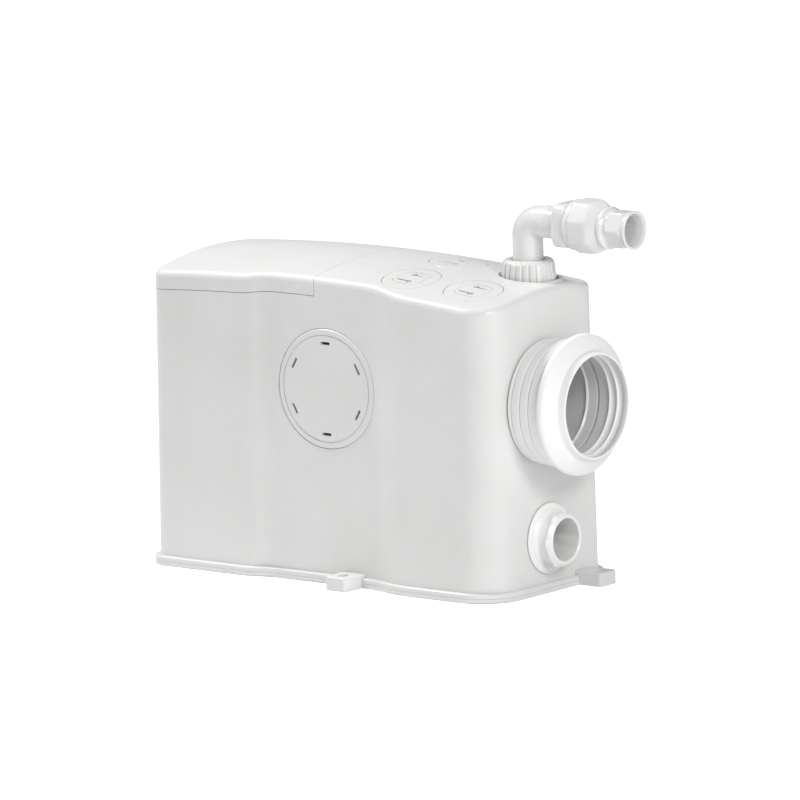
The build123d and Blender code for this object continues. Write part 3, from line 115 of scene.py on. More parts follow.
FINISHES = {
    "white_shell": Finish(
        "white_shell", (0.80, 0.80, 0.795), (0.76, 0.76, 0.75), Surface.MOULDED, 0.34,
        coat=0.15, subsurface=0.05,
    ),
    "white_gloss": Finish(
        "white_gloss", (0.83, 0.83, 0.825), (0.79, 0.79, 0.78), Surface.MOULDED, 0.12, 0.04,
        coat=0.5, depth=0.000006, subsurface=0.05,
    ),
    "white_rubber": Finish(
        "white_rubber", (0.93, 0.93, 0.925), (0.91, 0.91, 0.90), Surface.RUBBER, 0.46, 0.08,
        depth=0.00003, painted_shade=0.1,
    ),
    "white_fitting": Finish(
        "white_fitting", (0.93, 0.93, 0.925), (0.91, 0.91, 0.90), Surface.MOULDED, 0.3,
        coat=0.2, painted_shade=0.05,
    ),
    "grey_plastic": Finish(
        "grey_plastic", (0.42, 0.43, 0.44), (0.36, 0.37, 0.38), Surface.MOULDED, 0.45, 0.08
    ),
    "black_rubber": Finish(
        "black_rubber", (0.02, 0.02, 0.02), (0.035, 0.035, 0.034), Surface.RUBBER, 0.6, 0.08
    ),
    "stainless": Finish(
        "stainless", (0.62, 0.62, 0.63), (0.50, 0.50, 0.51), Surface.BRUSHED, 0.3, 0.1,
        metallic=1.0, grain=0.0004,
    ),
    "motor_metal": Finish(
        "motor_metal", (0.52, 0.53, 0.54), (0.40, 0.41, 0.42), Surface.CAST, 0.42, 0.1,
        metallic=1.0, grain=0.0012,
    ),
    "dark_plastic": Finish(
        "dark_plastic", (0.04, 0.04, 0.045), (0.06, 0.06, 0.065), Surface.MOULDED, 0.4, 0.08
    ),
    "lamination": Finish(
        "lamination", (0.24, 0.24, 0.25), (0.12, 0.12, 0.13), Surface.LAYERED, 0.45, 0.1,
        metallic=1.0, grain=0.0006,
    ),
    "copper_winding": Finish(
        "copper_winding", (0.56, 0.24, 0.10), (0.36, 0.13, 0.05), Surface.WOUND, 0.28, 0.1,
        metallic=1.0, grain=0.0008,
    ),
    "filter_foam": Finish(
        "filter_foam", (0.03, 0.03, 0.03), (0.008, 0.008, 0.008), Surface.FOAM, 0.9, 0.05,
        grain=0.002, depth=0.0006,
    ),
}


class EffectGroup:
    """A shader node group with named sockets, built once and shared by the materials."""

    def __init__(self, name: str, inputs: dict[str, float | Colour], outputs: dict[str, str]) -> None:
        """Makes the empty group.

        Args:
            name: The group's name.
            inputs: Socket names with their default values; a triple makes a colour.
            outputs: Socket names with their Blender socket types.
        """
        self.tree: Tree = bpy.data.node_groups.new(name, "ShaderNodeTree")
        for key, value in inputs.items():
            kind = "NodeSocketColor" if isinstance(value, tuple) else "NodeSocketFloat"
            socket = self.tree.interface.new_socket(key, in_out="INPUT", socket_type=kind)
            socket.default_value = (*value, 1.0) if isinstance(value, tuple) else value
        for key, kind in outputs.items():
            self.tree.interface.new_socket(key, in_out="OUTPUT", socket_type=kind)
        self.source: Node = self.tree.nodes.new("NodeGroupInput")
        self.sink: Node = self.tree.nodes.new("NodeGroupOutput")

    def node(self, kind: str, values: dict[str, object] | None = None, **settings: object) -> Node:
        """Adds a node to the group.

        Args:
            kind: Blender's node type.
            values: Input socket names with a constant, or a socket to link from.
            settings: Attributes set on the node.

        Returns:
            The new node.
        """
        return add_node(self.tree, kind, values, **settings)

    def give(self, key: str, socket: Socket) -> None:
        """Links a socket to one of the group's outputs."""
        self.tree.links.new(socket, self.sink.inputs[key])


def add_node(
    tree: Tree, kind: str, values: dict[str | int, object] | None = None, **settings: object
) -> Node:
    """Adds a node to a tree and sets or links its inputs.

    Args:
        tree: The node tree.
        kind: Blender's node type.
        values: Input names or numbers with a constant, or a socket to link from.
        settings: Attributes set on the node.

    Returns:
        The new node.
    """
    node = tree.nodes.new(kind)
    for key, value in settings.items():
        setattr(node, key, value)
    for key, value in (values or {}).items():
        if isinstance(value, bpy.types.NodeSocket):
            tree.links.new(value, node.inputs[key])
        else:
            node.inputs[key].default_value = value
    return node


def grain_group() -> EffectGroup:
    """Builds the moulded or cast grain.

    Returns:
        A group whose Height is fine bumps of a given size, with a broader unevenness under them.
    """
    group = EffectGroup("Surface Grain", {"Size": 0.0008, "Waviness": 0.3}, {"Height": "NodeSocketFloat"})
    place = group.node("ShaderNodeTexCoord")
    rate = group.node("ShaderNodeMath", {0: 1.0, 1: group.source.outputs["Size"]}, operation="DIVIDE")
    fine = group.node(
        "ShaderNodeTexNoise", {"Vector": place.outputs["Object"], "Scale": rate.outputs[0], "Detail": 3.0}
    )
    slow_rate = group.node("ShaderNodeMath", {0: rate.outputs[0], 1: 0.02}, operation="MULTIPLY")
    slow = group.node(
        "ShaderNodeTexNoise",
        {"Vector": place.outputs["Object"], "Scale": slow_rate.outputs[0], "Detail": 1.0},
    )
    wave = group.node(
        "ShaderNodeMath", {0: slow.outputs["Fac"], 1: group.source.outputs["Waviness"]}, operation="MULTIPLY"
    )
    total = group.node("ShaderNodeMath", {0: fine.outputs["Fac"], 1: wave.outputs[0]}, operation="ADD")
    group.give("Height", total.outputs[0])
    return group


def drift_group() -> EffectGroup:
    """Builds the slow change of tone and gloss over a piece.

    Returns:
        A group with a Colour between two tones and a Roughness about a middle value.
    """
    inputs = {"Base": (0.8, 0.8, 0.8), "Shade": (0.7, 0.7, 0.7), "Roughness": 0.4, "Spread": 0.1, "Rate": 9.0}
    outputs = {"Colour": "NodeSocketColor", "Roughness": "NodeSocketFloat"}
    group = EffectGroup("Tone Drift", inputs, outputs)
    place = group.node("ShaderNodeTexCoord")
    cloud = group.node(
        "ShaderNodeTexNoise",
        {
            "Vector": place.outputs["Object"],
            "Scale": group.source.outputs["Rate"],
            "Detail": 5.0,
            "Roughness": 0.6,
        },
    )
    bands = group.node("ShaderNodeMapRange", {0: cloud.outputs["Fac"], 1: 0.38, 2: 0.66, 3: 0.0, 4: 1.0})
    mixed = group.node(
        "ShaderNodeMix",
        {0: bands.outputs[0], 6: group.source.outputs["Base"], 7: group.source.outputs["Shade"]},
        data_type="RGBA",
    )
    group.give("Colour", mixed.outputs[2])
    smear = group.node(
        "ShaderNodeTexNoise",
        {"Vector": place.outputs["Object"], "Scale": 60.0, "Detail": 4.0, "Distortion": 0.6},
    )
    centred = group.node("ShaderNodeMath", {0: smear.outputs["Fac"], 1: 0.5}, operation="SUBTRACT")
    spread = group.node(
        "ShaderNodeMath", {0: centred.outputs[0], 1: group.source.outputs["Spread"]}, operation="MULTIPLY"
    )
    level = group.node(
        "ShaderNodeMath", {0: spread.outputs[0], 1: group.source.outputs["Roughness"]}, operation="ADD",
        use_clamp=True,
    )
    group.give("Roughness", level.outputs[0])
    return group


def painted_shade_group() -> EffectGroup:
    """Builds the painted shade that darkens seams, corners and other hollows, found by ambient occlusion and
    broken up by noise.

    Returns:
        A group that takes a Colour and gives it back with the hollows toned down.
    """
    inputs = {"Colour": (0.8, 0.8, 0.8), "Shade Tone": (0.42, 0.41, 0.39), "Amount": 0.2, "Reach": 0.006}
    group = EffectGroup("Painted Hollow Shade", inputs, {"Colour": "NodeSocketColor"})
    # Painted shade: ambient occlusion finds the hollows, and the colour is darkened there towards the shade
    # tone.
    hollow = group.node("ShaderNodeAmbientOcclusion", {"Distance": group.source.outputs["Reach"]}, samples=6)
    shut = group.node("ShaderNodeMapRange", {0: hollow.outputs["AO"], 1: 0.2, 2: 0.85, 3: 1.0, 4: 0.0})
    place = group.node("ShaderNodeTexCoord")
    patch = group.node(
        "ShaderNodeTexNoise", {"Vector": place.outputs["Object"], "Scale": 45.0, "Detail": 4.0}
    )
    broken = group.node("ShaderNodeMapRange", {0: patch.outputs["Fac"], 1: 0.3, 2: 0.6, 3: 0.5, 4: 1.0})
    mask = group.node("ShaderNodeMath", {0: shut.outputs[0], 1: broken.outputs[0]}, operation="MULTIPLY")
    amount = group.node(
        "ShaderNodeMath", {0: mask.outputs[0], 1: group.source.outputs["Amount"]}, operation="MULTIPLY"
    )
    mixed = group.node(
        "ShaderNodeMix",
        {0: amount.outputs[0], 6: group.source.outputs["Colour"], 7: group.source.outputs["Shade Tone"]},
        data_type="RGBA",
    )
    group.give("Colour", mixed.outputs[2])
    return group


def streak_group() -> EffectGroup:
    """Builds fine parallel lines, as on brushed steel, wound wire and stacked sheets.

    Returns:
        A group whose Height runs in lines stacked along Z.
    """
    group = EffectGroup("Line Streaks", {"Pitch": 0.0006, "Break": 0.2}, {"Height": "NodeSocketFloat"})
    place = group.node("ShaderNodeTexCoord")
    rate = group.node("ShaderNodeMath", {0: 1.0, 1: group.source.outputs["Pitch"]}, operation="DIVIDE")
    narrow = group.node(
        "ShaderNodeMath", {0: rate.outputs[0], 1: group.source.outputs["Break"]}, operation="MULTIPLY"
    )
    scale = group.node(
        "ShaderNodeCombineXYZ", {"X": narrow.outputs[0], "Y": narrow.outputs[0], "Z": rate.outputs[0]}
    )
    stretched = group.node(
        "ShaderNodeVectorMath", {0: place.outputs["Object"], 1: scale.outputs[0]}, operation="MULTIPLY"
    )
    lines = group.node("ShaderNodeTexNoise", {"Vector": stretched.outputs[0], "Scale": 1.0, "Detail": 2.0})
    group.give("Height", lines.outputs["Fac"])
    return group


class Palette:
    """The shared effects and the materials made from the finishes."""

    coat_roughness: float = 0.08
    subsurface_scale: float = 0.002

    def __init__(self) -> None:
        """Builds each shared effect once."""
        self.grain = grain_group()
        self.drift = drift_group()
        self.painted_shade = painted_shade_group()
        self.streak = streak_group()
        self.made: dict[str, bpy.types.Material] = {}

    def place(self, tree: Tree, group: EffectGroup, values: dict[str, object]) -> Node:
        """Places a shared effect in a material.

        Args:
            tree: The material's tree.
            group: The effect.
            values: Its input values or links.

        Returns:
            The group node.
        """
        opaque = {key: (*value, 1.0) if isinstance(value, tuple) else value for key, value in values.items()}
        return add_node(tree, "ShaderNodeGroup", opaque, node_tree=group.tree)

    def material(self, name: str) -> bpy.types.Material:
        """Gives the material of a slot, made the first time that it is asked for.

        Args:
            name: The record's material slot.

        Returns:
            The finished material.
        """
        if name in self.made:
            return self.made[name]
        finish = FINISHES[name]
        material = bpy.data.materials.new(f"pump_{finish.name}")
        material.use_nodes = True
        tree = material.node_tree
        shader = tree.nodes["Principled BSDF"]
        drift = self.place(
            tree,
            self.drift,
            {
                "Base": finish.colour,
                "Shade": finish.shade,
                "Roughness": finish.roughness,
                "Spread": finish.roughness_spread,
            },
        )
        # Painted shade: the hollows are darkened in the base colour.
        painted_shade = self.place(
            tree, self.painted_shade, {"Colour": drift.outputs["Colour"], "Amount": finish.painted_shade}
        )
        tree.links.new(painted_shade.outputs["Colour"], shader.inputs["Base Color"])
        tree.links.new(drift.outputs["Roughness"], shader.inputs["Roughness"])
        bump = add_node(
            tree,
            "ShaderNodeBump",
            {"Height": self.height(tree, finish), "Distance": finish.depth, "Strength": 1.0},
        )
        tree.links.new(bump.outputs["Normal"], shader.inputs["Normal"])
        shader.inputs["Metallic"].default_value = finish.metallic
        shader.inputs["Coat Weight"].default_value = finish.coat
        shader.inputs["Coat Roughness"].default_value = self.coat_roughness
        shader.inputs["Subsurface Weight"].default_value = finish.subsurface
        shader.inputs["Subsurface Scale"].default_value = self.subsurface_scale
        self.made[name] = material
        return material

    def height(self, tree: Tree, finish: Finish) -> Socket:
        """Gives the height texture that suits a finish.

        Args:
            tree: The material's tree.
            finish: The finish.

        Returns:
            The socket to feed a Bump node's Height.
        """
        if finish.surface in (Surface.BRUSHED, Surface.WOUND, Surface.LAYERED):
            node = self.place(tree, self.streak, {"Pitch": finish.grain})
        else:
            node = self.place(tree, self.grain, {"Size": finish.grain})
        return node.outputs["Height"]


@dataclass
class DressedNode:
    """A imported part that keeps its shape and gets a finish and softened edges."""

    node: str
    slot: str
    edge_radius: float = 0.3 * MM
    edge_angle: float = 35.0

    def dress(self, frame: dict, palette: Palette) -> None:
        """Puts the finish and the edge softening on the part.

        Args:
            frame: The loaded frame.
            palette: Where the materials come from.
        """
        part = frame["nodes"][self.node]
        material = palette.material(self.slot)
        if not part.material_slots:
            part.data.materials.append(material)
        for slot in part.material_slots:
            slot.link = "OBJECT"
            slot.material = material
        bevel = part.modifiers.new("soft_edges", "BEVEL")
        bevel.width = self.edge_radius
        bevel.segments = 2
        bevel.limit_method = "ANGLE"
        bevel.angle_limit = math.radians(self.edge_angle)
        bevel.use_clamp_overlap = True
        bevel.harden_normals = False
        normals = part.modifiers.new("even_shading", "WEIGHTED_NORMAL")
        normals.keep_sharp = True


@dataclass
class Shell:
    """The tank: base, hood, lid, vent cover and port caps."""

    edge: float = 0.35 * MM

    def nodes(self) -> dict[str, float]:
        """Gives the shell's parts with the radius of their edges."""
        return {
            "tank_base": self.edge,
            "tank_hood": self.edge,
            "service_lid": self.edge * 1.3,
            "vent_cover": self.edge * 0.8,
            "port_cap_left": self.edge * 0.6,
            "port_cap_right": self.edge * 0.6,
            "port_cap_rear": self.edge * 0.6,
        }

    def build(self, frame: dict, palette: Palette) -> None:
        """Dresses each part of the shell.

        Args:
            frame: The loaded frame.
            palette: Where the materials come from.
        """
        for node, edge in self.nodes().items():
            DressedNode(node, slot_of(frame, node), edge).dress(frame, palette)
            LOG.info("shell part %s", node)


@dataclass
class Plumbing:
    """The waste inlet's seal, lock nut and flap, and the discharge's riser, coupling, elbow and valve flap
    with their seals.
    """

    edge: float = 0.3 * MM
    members: tuple[str, ...] = (
        "waste_seal",
        "waste_lock_nut",
        "waste_flap",
        "waste_flap_pin",
        "riser_pipe",
        "riser_coupling",
        "elbow_seal",
        "outlet_elbow",
        "valve_flap",
        "valve_flap_pin",
        "valve_seal",
    )

    def build(self, frame: dict, palette: Palette) -> None:
        """Dresses each part of the plumbing.

        Args:
            frame: The loaded frame.
            palette: Where the materials come from.
        """
        for node in self.members:
            DressedNode(node, slot_of(frame, node), self.edge).dress(frame, palette)
            LOG.info("plumbing part %s", node)


REPLACED_NODES = (
    "inlet_sleeve",
    "waste_inlet",
    "union_nut",
    "valve_adaptor",
    "valve_body",
    "valve_union_nut",
    "valve_tail",
)


@dataclass
class Mechanism:
    """Everything else inside the tank: pump, motor, level switch and electrical parts."""

    edge: float = 0.2 * MM

    def build(self, frame: dict, palette: Palette, done: set[str]) -> None:
        """Dresses each part that no other class has dressed.

        Args:
            frame: The loaded frame.
            palette: Where the materials come from.
            done: Names of the parts already dressed.
        """
        for node in sorted(set(frame["nodes"]) - done):
            DressedNode(node, slot_of(frame, node), self.edge).dress(frame, palette)
            LOG.info("inner part %s", node)


def slot_of(frame: dict, node: str) -> str:
    """Gives the record's material slot of a part.

    Args:
        frame: The loaded frame.
        node: The part's name.

    Returns:
        The slot's name.
    """
    for part in frame["record"]["subparts"]:
        if part["node"] == node:
            return part["material_slot"]
    raise KeyError(node)


def rounded(corners: list[Corner], arc: int = 4) -> list[tuple[float, float]]:
    """Rounds the corners of a closed outline.

    Args:
        corners: Place along the line, radius, and how far the rounding reaches, in millimetres.
        arc: How many short lines make a rounded corner.

    Returns:
        The outline's points, in order.
    """
    points: list[tuple[float, float]] = []
    for index, (place, radius, reach) in enumerate(corners):
        here = Vector((place, radius))
        back = Vector(corners[index - 1][:2]) - here
        ahead = Vector(corners[(index + 1) % len(corners)][:2]) - here
        cut = min(reach, back.length * 0.48, ahead.length * 0.48)
        if cut < 0.01:
            points.append((place, radius))
            continue
        start = here + back.normalized() * cut
        end = here + ahead.normalized() * cut
        for step in range(arc + 1):
            share = step / arc
            spot = start * (1 - share) ** 2 + here * (2 * share * (1 - share)) + end * share**2
            points.append((spot.x, spot.y))
    return points


def flats(radius: float, angle: float, sides: int, across: float, turn: float, softness: float) -> float:
    """Cuts flats into a round piece.

    Args:
        radius: The round radius, in millimetres.
        angle: Where on the turn, in radians.
        sides: How many flats.
        across: Distance from the middle to a flat, in millimetres.
        turn: Where the first flat faces, in radians.
        softness: Width over which the flat fades into the round, in millimetres.

    Returns:
        The radius with the flats cut.
    """
    slice_angle = 2 * math.pi / sides
    off = (angle - turn + slice_angle / 2) % slice_angle - slice_angle / 2
    flat = across / math.cos(off)
    gap = max(-FADE_LIMIT, min(FADE_LIMIT, (radius - flat) / softness))
    return radius - softness * math.log1p(math.exp(gap))


@dataclass
class TurnedPiece:
    """A piece turned about a straight line, with its radius varied round the turn."""

    name: str
    node: str | None
    body: str
    slot: str
    along: Along
    centre: tuple[float, float]
    corners: list[Corner]
    steps: int = 192
    shape: RadiusAt | None = None
    sharp_angle: float = 40.0

    def spot(self, place: float, radius: float, angle: float) -> tuple[float, float, float]:
        """Gives a point of the surface in metres.

        Args:
            place: Distance along the line.
            radius: Distance from the line.
            angle: Turn about the line, in radians.

        Returns:
            The point.
        """
        first, second = self.centre
        side, rise = radius * math.cos(angle), radius * math.sin(angle)
        if self.along is Along.X:
            return place * MM, (first + side) * MM, (second + rise) * MM
        return (first + side) * MM, (second + rise) * MM, place * MM

    def mesh(self) -> bpy.types.Mesh:
        """Builds the closed mesh.

        Returns:
            The mesh, smooth except at its sharp edges.
        """
        outline = rounded(self.corners)
        count = len(outline)
        verts = []
        for step in range(self.steps):
            angle = 2 * math.pi * step / self.steps
            for place, radius in outline:
                shaped = self.shape(place, angle, radius) if self.shape else radius
                verts.append(self.spot(place, shaped, angle))
        faces = []
        for step in range(self.steps):
            near, far = step * count, (step + 1) % self.steps * count
            for index in range(count):
                after = (index + 1) % count
                faces.append((near + index, near + after, far + after, far + index))
        mesh = bpy.data.meshes.new(self.name)
        mesh.from_pydata(verts, [], faces)
        shaped_mesh = bmesh.new()
        shaped_mesh.from_mesh(mesh)
        bmesh.ops.recalc_face_normals(shaped_mesh, faces=shaped_mesh.faces)
        shaped_mesh.to_mesh(mesh)
        shaped_mesh.free()
        mesh.shade_smooth()
        mesh.set_sharp_from_angle(angle=math.radians(self.sharp_angle))
        return mesh

    def build(self, palette: Palette) -> bpy.types.Object:
        """Makes the piece, dresses it and ties it to its body.

        Args:
            palette: Where the materials come from.

        Returns:
            The piece.
        """
        piece = bpy.data.objects.new(self.name, self.mesh())
        bpy.context.collection.objects.link(piece)
        piece.data.materials.append(palette.material(self.slot))
        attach(piece, self.body)
        if self.node is not None:
            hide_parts(self.node)
        LOG.info("turned piece %s", self.name)
        return piece


@dataclass
class PanSleeve:
    """The rubber pan sleeve: ridged root, wide shoulder, cone, thin mouth and inner lips."""

    face: float = 203.6
    reach: float = 60.88
    height: float = 180.0
    spigot: float = 55.1
    bore: float = 47.5
    shoulder: float = 66.6
    lip_depths: tuple[float, float] = (12.6, 21.6)
    ridge_places: tuple[float, ...] = (5.0, 15.3, 25.6, 37.2)
    root: float = 58.0
    lining_bore: float = 48.9

    def ridges(self) -> list[Corner]:
        """Gives the stepped rings of the root."""
        corners: list[Corner] = []
        start = 0.0
        for index, place in enumerate(self.ridge_places):
            radius = self.root + 0.9 * index
            corners += [
                (self.face + start, radius - 1.5, 0.3),
                (self.face + start + 0.9, radius, 0.9),
                (self.face + place - 1.3, radius + 0.5, 1.0),
                (self.face + place - 0.5, radius - 1.2, 0.5),
            ]
            start = place
        return corners

    def lips(self) -> list[Corner]:
        """Gives the thin inner lips, from the mouth inwards."""
        end = self.face + self.reach
        corners: list[Corner] = []
        for depth in self.lip_depths:
            corners += [
                (end - depth + 4.2, self.bore + 2.4, 1.6),
                (end - depth + 0.9, self.bore + 1.6, 1.0),
                (end - depth + 0.5, self.bore - 0.6, 0.3),
                (end - depth - 0.4, self.bore - 0.6, 0.3),
                (end - depth - 1.2, self.bore + 2.2, 1.2),
            ]
        return corners

    def build(self, palette: Palette) -> None:
        """Makes the sleeve and the white lining behind it."""
        end = self.face + self.reach
        start = self.face + self.ridge_places[-1]
        corners = [(self.face, self.spigot, 0.2), *self.ridges()]
        corners += [
            (start + 0.5, self.shoulder - 3.6, 1.2),
            (start + 3.4, self.shoulder, 3.0),
            (start + 8.6, self.shoulder - 0.4, 3.4),
            (end - 8.8, self.bore + 6.4, 2.0),
            (end - 7.6, self.bore + 3.6, 1.6),
            (end - 1.4, self.bore + 2.7, 0.8),
            (end, self.bore + 2.0, 0.6),
            (end, self.bore + 0.4, 0.4),
            (end - 1.0, self.bore, 0.8),
            (end - 5.0, self.bore, 2.0),
            *self.lips(),
            (self.face + 25.2, self.bore + 2.6, 0.8),
            (self.face + 24.6, self.spigot, 0.2),
        ]
        TurnedPiece(
            "pan_sleeve", "inlet_sleeve", "tank", "white_rubber", Along.X, (0.0, self.height), corners, 224
        ).build(palette)
        rim = self.lining_bore + 1.0
        lining = [
            (self.face - 26.0, rim, 0.2),
            (self.face + 23.4, rim, 0.2),
            (self.face + 23.4, self.lining_bore + 0.5, 0.3),
            (self.face + 14.0, self.lining_bore + 0.2, 0.4),
            (self.face + 12.6, self.lining_bore - 1.6, 0.5),
            (self.face + 11.4, self.lining_bore - 1.6, 0.5),
            (self.face + 10.4, self.lining_bore + 0.2, 0.4),
            (self.face - 25.0, self.lining_bore, 0.4),
            (self.face - 26.0, self.lining_bore + 0.4, 0.2),
        ]
        TurnedPiece(
            "pan_inlet_lining", None, "tank", "white_shell", Along.X, (0.0, self.height), lining, 160
        ).build(palette)


@dataclass
class WasteSocket:
    """The low waste inlet: wall ring, neck and chamfered six-sided head round a fluted bore."""

    wall: float = 205.0
    end: float = 225.5
    inner_end: float = 186.0
    height: float = 50.4
    bore: float = 20.0
    ring: float = 33.5
    neck: float = 24.0
    head: float = 6.0
    flat: float = 24.4
    flat_fade: float = 0.35
    flutes: int = 12
    flute_depth: float = 0.35

    def radius_at(self, place: float, angle: float, radius: float) -> float:
        """Cuts the head's flats and the bore's shallow flutes.

        Args:
            place: Distance along the bore.
            angle: Turn about the bore, in radians.
            radius: The round radius.

        Returns:
            The shaped radius.
        """
        if radius > self.flat and place > self.end - self.head - 0.1:
            return flats(radius, angle, 6, self.flat, math.pi / 2, self.flat_fade)
        if radius < self.bore + 0.2 and place < self.end - 2.0:
            return radius + self.flute_depth * math.cos(self.flutes * angle)
        return radius

    def build(self, palette: Palette) -> None:
        """Makes the fitting."""
        head = self.end - self.head
        corners = [
            (self.inner_end, self.bore, 0.3),
            (self.inner_end, self.bore + 2.4, 0.3),
            (self.wall + 0.3, self.bore + 2.4, 0.1),
            (self.wall + 0.3, self.ring, 0.3),
            (self.wall + 1.4, self.ring, 0.5),
            (self.wall + 2.4, self.ring - 1.4, 0.6),
            (self.wall + 2.6, self.neck + 4.2, 0.6),
            (self.wall + 4.2, self.neck + 3.0, 0.9),
            (self.wall + 4.6, self.neck + 0.6, 0.8),
            (self.wall + 6.0, self.neck - 0.2, 0.8),
            (head, self.neck - 0.2, 0.3),
            (head, self.neck + 2.4, 0.6),
            (head + 1.1, self.neck + 4.4, 0.5),
            (head + 1.9, self.neck + 4.4, 0.6),
            (self.end, self.neck - 1.4, 0.7),
            (self.end, self.bore + 1.0, 0.3),
            (self.end - 0.9, self.bore, 0.5),
            (self.end - 3.0, self.bore, 0.3),
        ]
        TurnedPiece(
            "waste_socket", "waste_inlet", "tank", "white_fitting", Along.X, (0.0, self.height), corners, 216,
            self.radius_at,
        ).build(palette)


@dataclass
class OutletValve:
    """The valve on the elbow's arm: square socket, collar, eight-sided nut and flared tail."""

    side: float = 34.5
    height: float = 341.7
    pipe: float = 14.6
    seat: float = 11.5
    bore: float = 13.8
    arm_start: float = 191.5
    block_start: float = 203.6
    block_half: float = 20.8
    block_end: float = 218.4
    block_power: float = 5.0
    socket_wall: float = 205.7
    joint: float = 213.5
    pocket: float = 19.9
    chamber_wall: float = 214.4
    chamber_bore: float = 18.9
    chamber_end: float = 241.0
    nut_start: float = 225.6
    nut_end: float = 245.6
    nut_shoulder: float = 247.0
    nut_mouth: float = 254.8
    nut_flat: float = 24.4
    nut_fade: float = 0.55
    nut_turn: float = math.radians(7.0)
    tail_start: float = 255.0
    grip_start: float = 263.6
    grip_end: float = 281.4
    grip_flat: float = 16.6
    grip_fade: float = 0.4
    grip_turn: float = math.radians(30.0)
    end: float = 286.8

    def square_at(self, place: float, angle: float, radius: float) -> float:
        """Squares the socket's block with rounded corners."""
        on_block = self.block_start - 0.1 <= place <= self.block_end + 0.1
        in_pocket = radius < self.pocket + 0.1 and place > self.joint - 0.2
        if radius < self.pipe + 1.4 or not on_block or in_pocket:
            return radius
        power = self.block_power
        return radius / (abs(math.cos(angle)) ** power + abs(math.sin(angle)) ** power) ** (1 / power)

    def nut_at(self, place: float, angle: float, radius: float) -> float:
        """Cuts the nut's eight soft flats."""
        if radius < self.nut_flat - 6.5:
            return radius
        across = self.nut_flat if place < self.nut_end else self.nut_flat - (place - self.nut_end) * 0.6
        return flats(radius, angle, 8, across, self.nut_turn, self.nut_fade)

    def tail_at(self, place: float, angle: float, radius: float) -> float:
        """Cuts the tail's six flats."""
        if radius < self.bore + 2.6 or not self.grip_start < place < self.grip_end:
            return radius
        return flats(radius, angle, 6, self.grip_flat, self.grip_turn, self.grip_fade)

    def adaptor(self) -> list[Corner]:
        """Gives the socket's outline: sleeve on the arm, block, thin collar."""
        return [
            (self.arm_start, self.pipe, 0.1),
            (self.arm_start, self.pipe + 1.0, 0.4),
            (self.block_start, self.pipe + 1.1, 0.3),
            (self.block_start, self.block_half - 1.8, 0.8),
            (self.block_start + 2.0, self.block_half, 1.8),
            (self.block_end - 0.8, self.block_half, 0.5),
            (self.block_end, self.block_half - 0.8, 0.3),
            (self.block_end, self.pocket, 0.1),
            (self.joint, self.pocket, 0.1),
            (self.joint, self.seat, 0.2),
            (self.socket_wall, self.seat, 0.2),
            (self.socket_wall, self.pipe, 0.1),
        ]

    def chamber(self) -> list[Corner]:
        """Gives the flap chamber's outline: round collars outside, seat and chamber inside."""
        return [
            (self.joint + 0.1, self.seat, 0.2),
            (self.joint + 0.1, self.pocket - 0.1, 0.1),
            (self.block_end + 0.2, self.pocket - 0.1, 0.1),
            (self.block_end + 0.2, 23.0, 0.4),
            (self.block_end + 0.9, 23.9, 0.5),
            (self.nut_start - 1.0, 24.2, 0.4),
            (self.nut_start - 0.2, 23.2, 0.2),
            (self.nut_start - 0.2, 21.2, 0.2),
            (self.chamber_end, 21.2, 0.3),
            (self.chamber_end, self.chamber_bore, 0.2),
            (self.chamber_wall, self.chamber_bore, 0.6),
            (self.chamber_wall, self.seat + 2.0, 0.2),
            (self.chamber_wall + 1.0, self.seat + 2.0, 0.2),
            (self.chamber_wall + 1.0, self.seat, 0.2),
        ]

    def nut(self) -> list[Corner]:
        """Gives the nut's outline: bright rim, lobed body and a taper to the tail."""
        return [
            (self.nut_start, 22.2, 0.2),
            (self.nut_start, 25.2, 0.4),
            (self.nut_start + 0.7, 26.4, 0.6),
            (self.nut_end - 4.5, 26.5, 2.6),
            (self.nut_end + 1.0, 25.0, 2.4),
            (self.nut_end + 7.2, 21.0, 1.6),
            (self.nut_mouth, 19.6, 0.5),
            (self.nut_mouth, 18.4, 0.2),
            (self.nut_shoulder, 18.4, 0.2),
            (self.nut_shoulder, 22.2, 0.3),
        ]

    def tail(self) -> list[Corner]:
        """Gives the tail's outline: rings, six-sided grip, flared lip and open bore."""
        return [
            (self.chamber_end + 0.7, self.bore + 2.0, 0.4),
            (self.chamber_end + 0.7, 21.4, 0.3),
            (self.nut_shoulder - 0.2, 21.4, 0.3),
            (self.nut_shoulder - 0.2, 18.0, 0.2),
            (self.tail_start, 18.0, 0.2),
            (self.tail_start, 19.2, 0.3),
            (self.tail_start + 1.0, 20.2, 0.7),
            (self.tail_start + 4.4, 20.2, 0.8),
            (self.tail_start + 5.6, 18.6, 0.8),
            (self.grip_start - 1.2, 17.2, 0.6),
            (self.grip_start + 0.2, 17.2, 0.3),
            (self.grip_start + 1.0, 18.9, 0.7),
            (self.grip_start + 2.8, 19.4, 0.8),
            (self.grip_end - 1.8, 18.9, 0.8),
            (self.grip_end - 0.2, 17.0, 0.7),
            (self.grip_end + 1.2, 16.7, 0.6),
            (self.end - 2.2, 18.2, 0.8),
            (self.end - 0.5, 18.5, 0.5),
            (self.end, 17.8, 0.4),
            (self.end, 16.2, 0.4),
            (self.end - 2.4, self.bore + 1.0, 0.8),
            (self.end - 9.0, self.bore, 0.6),
            (self.nut_shoulder - 0.3, self.bore, 0.6),
        ]

    def build(self, palette: Palette) -> None:
        """Makes the four pieces of the valve."""
        rows: list[tuple[str, str, str, list[Corner], RadiusAt | None]] = [
            ("valve_socket", "valve_adaptor", "outlet", self.adaptor(), self.square_at),
            ("valve_chamber_shell", "valve_body", "outlet", self.chamber(), None),
            ("valve_lobed_nut", "valve_union_nut", "valve_union_nut", self.nut(), self.nut_at),
            ("valve_flared_tail", "valve_tail", "outlet", self.tail(), self.tail_at),
        ]
        for name, node, body, corners, shape in rows:
            TurnedPiece(
                name, node, body, "white_gloss", Along.X, (self.side, self.height), corners, 240, shape
            ).build(palette)


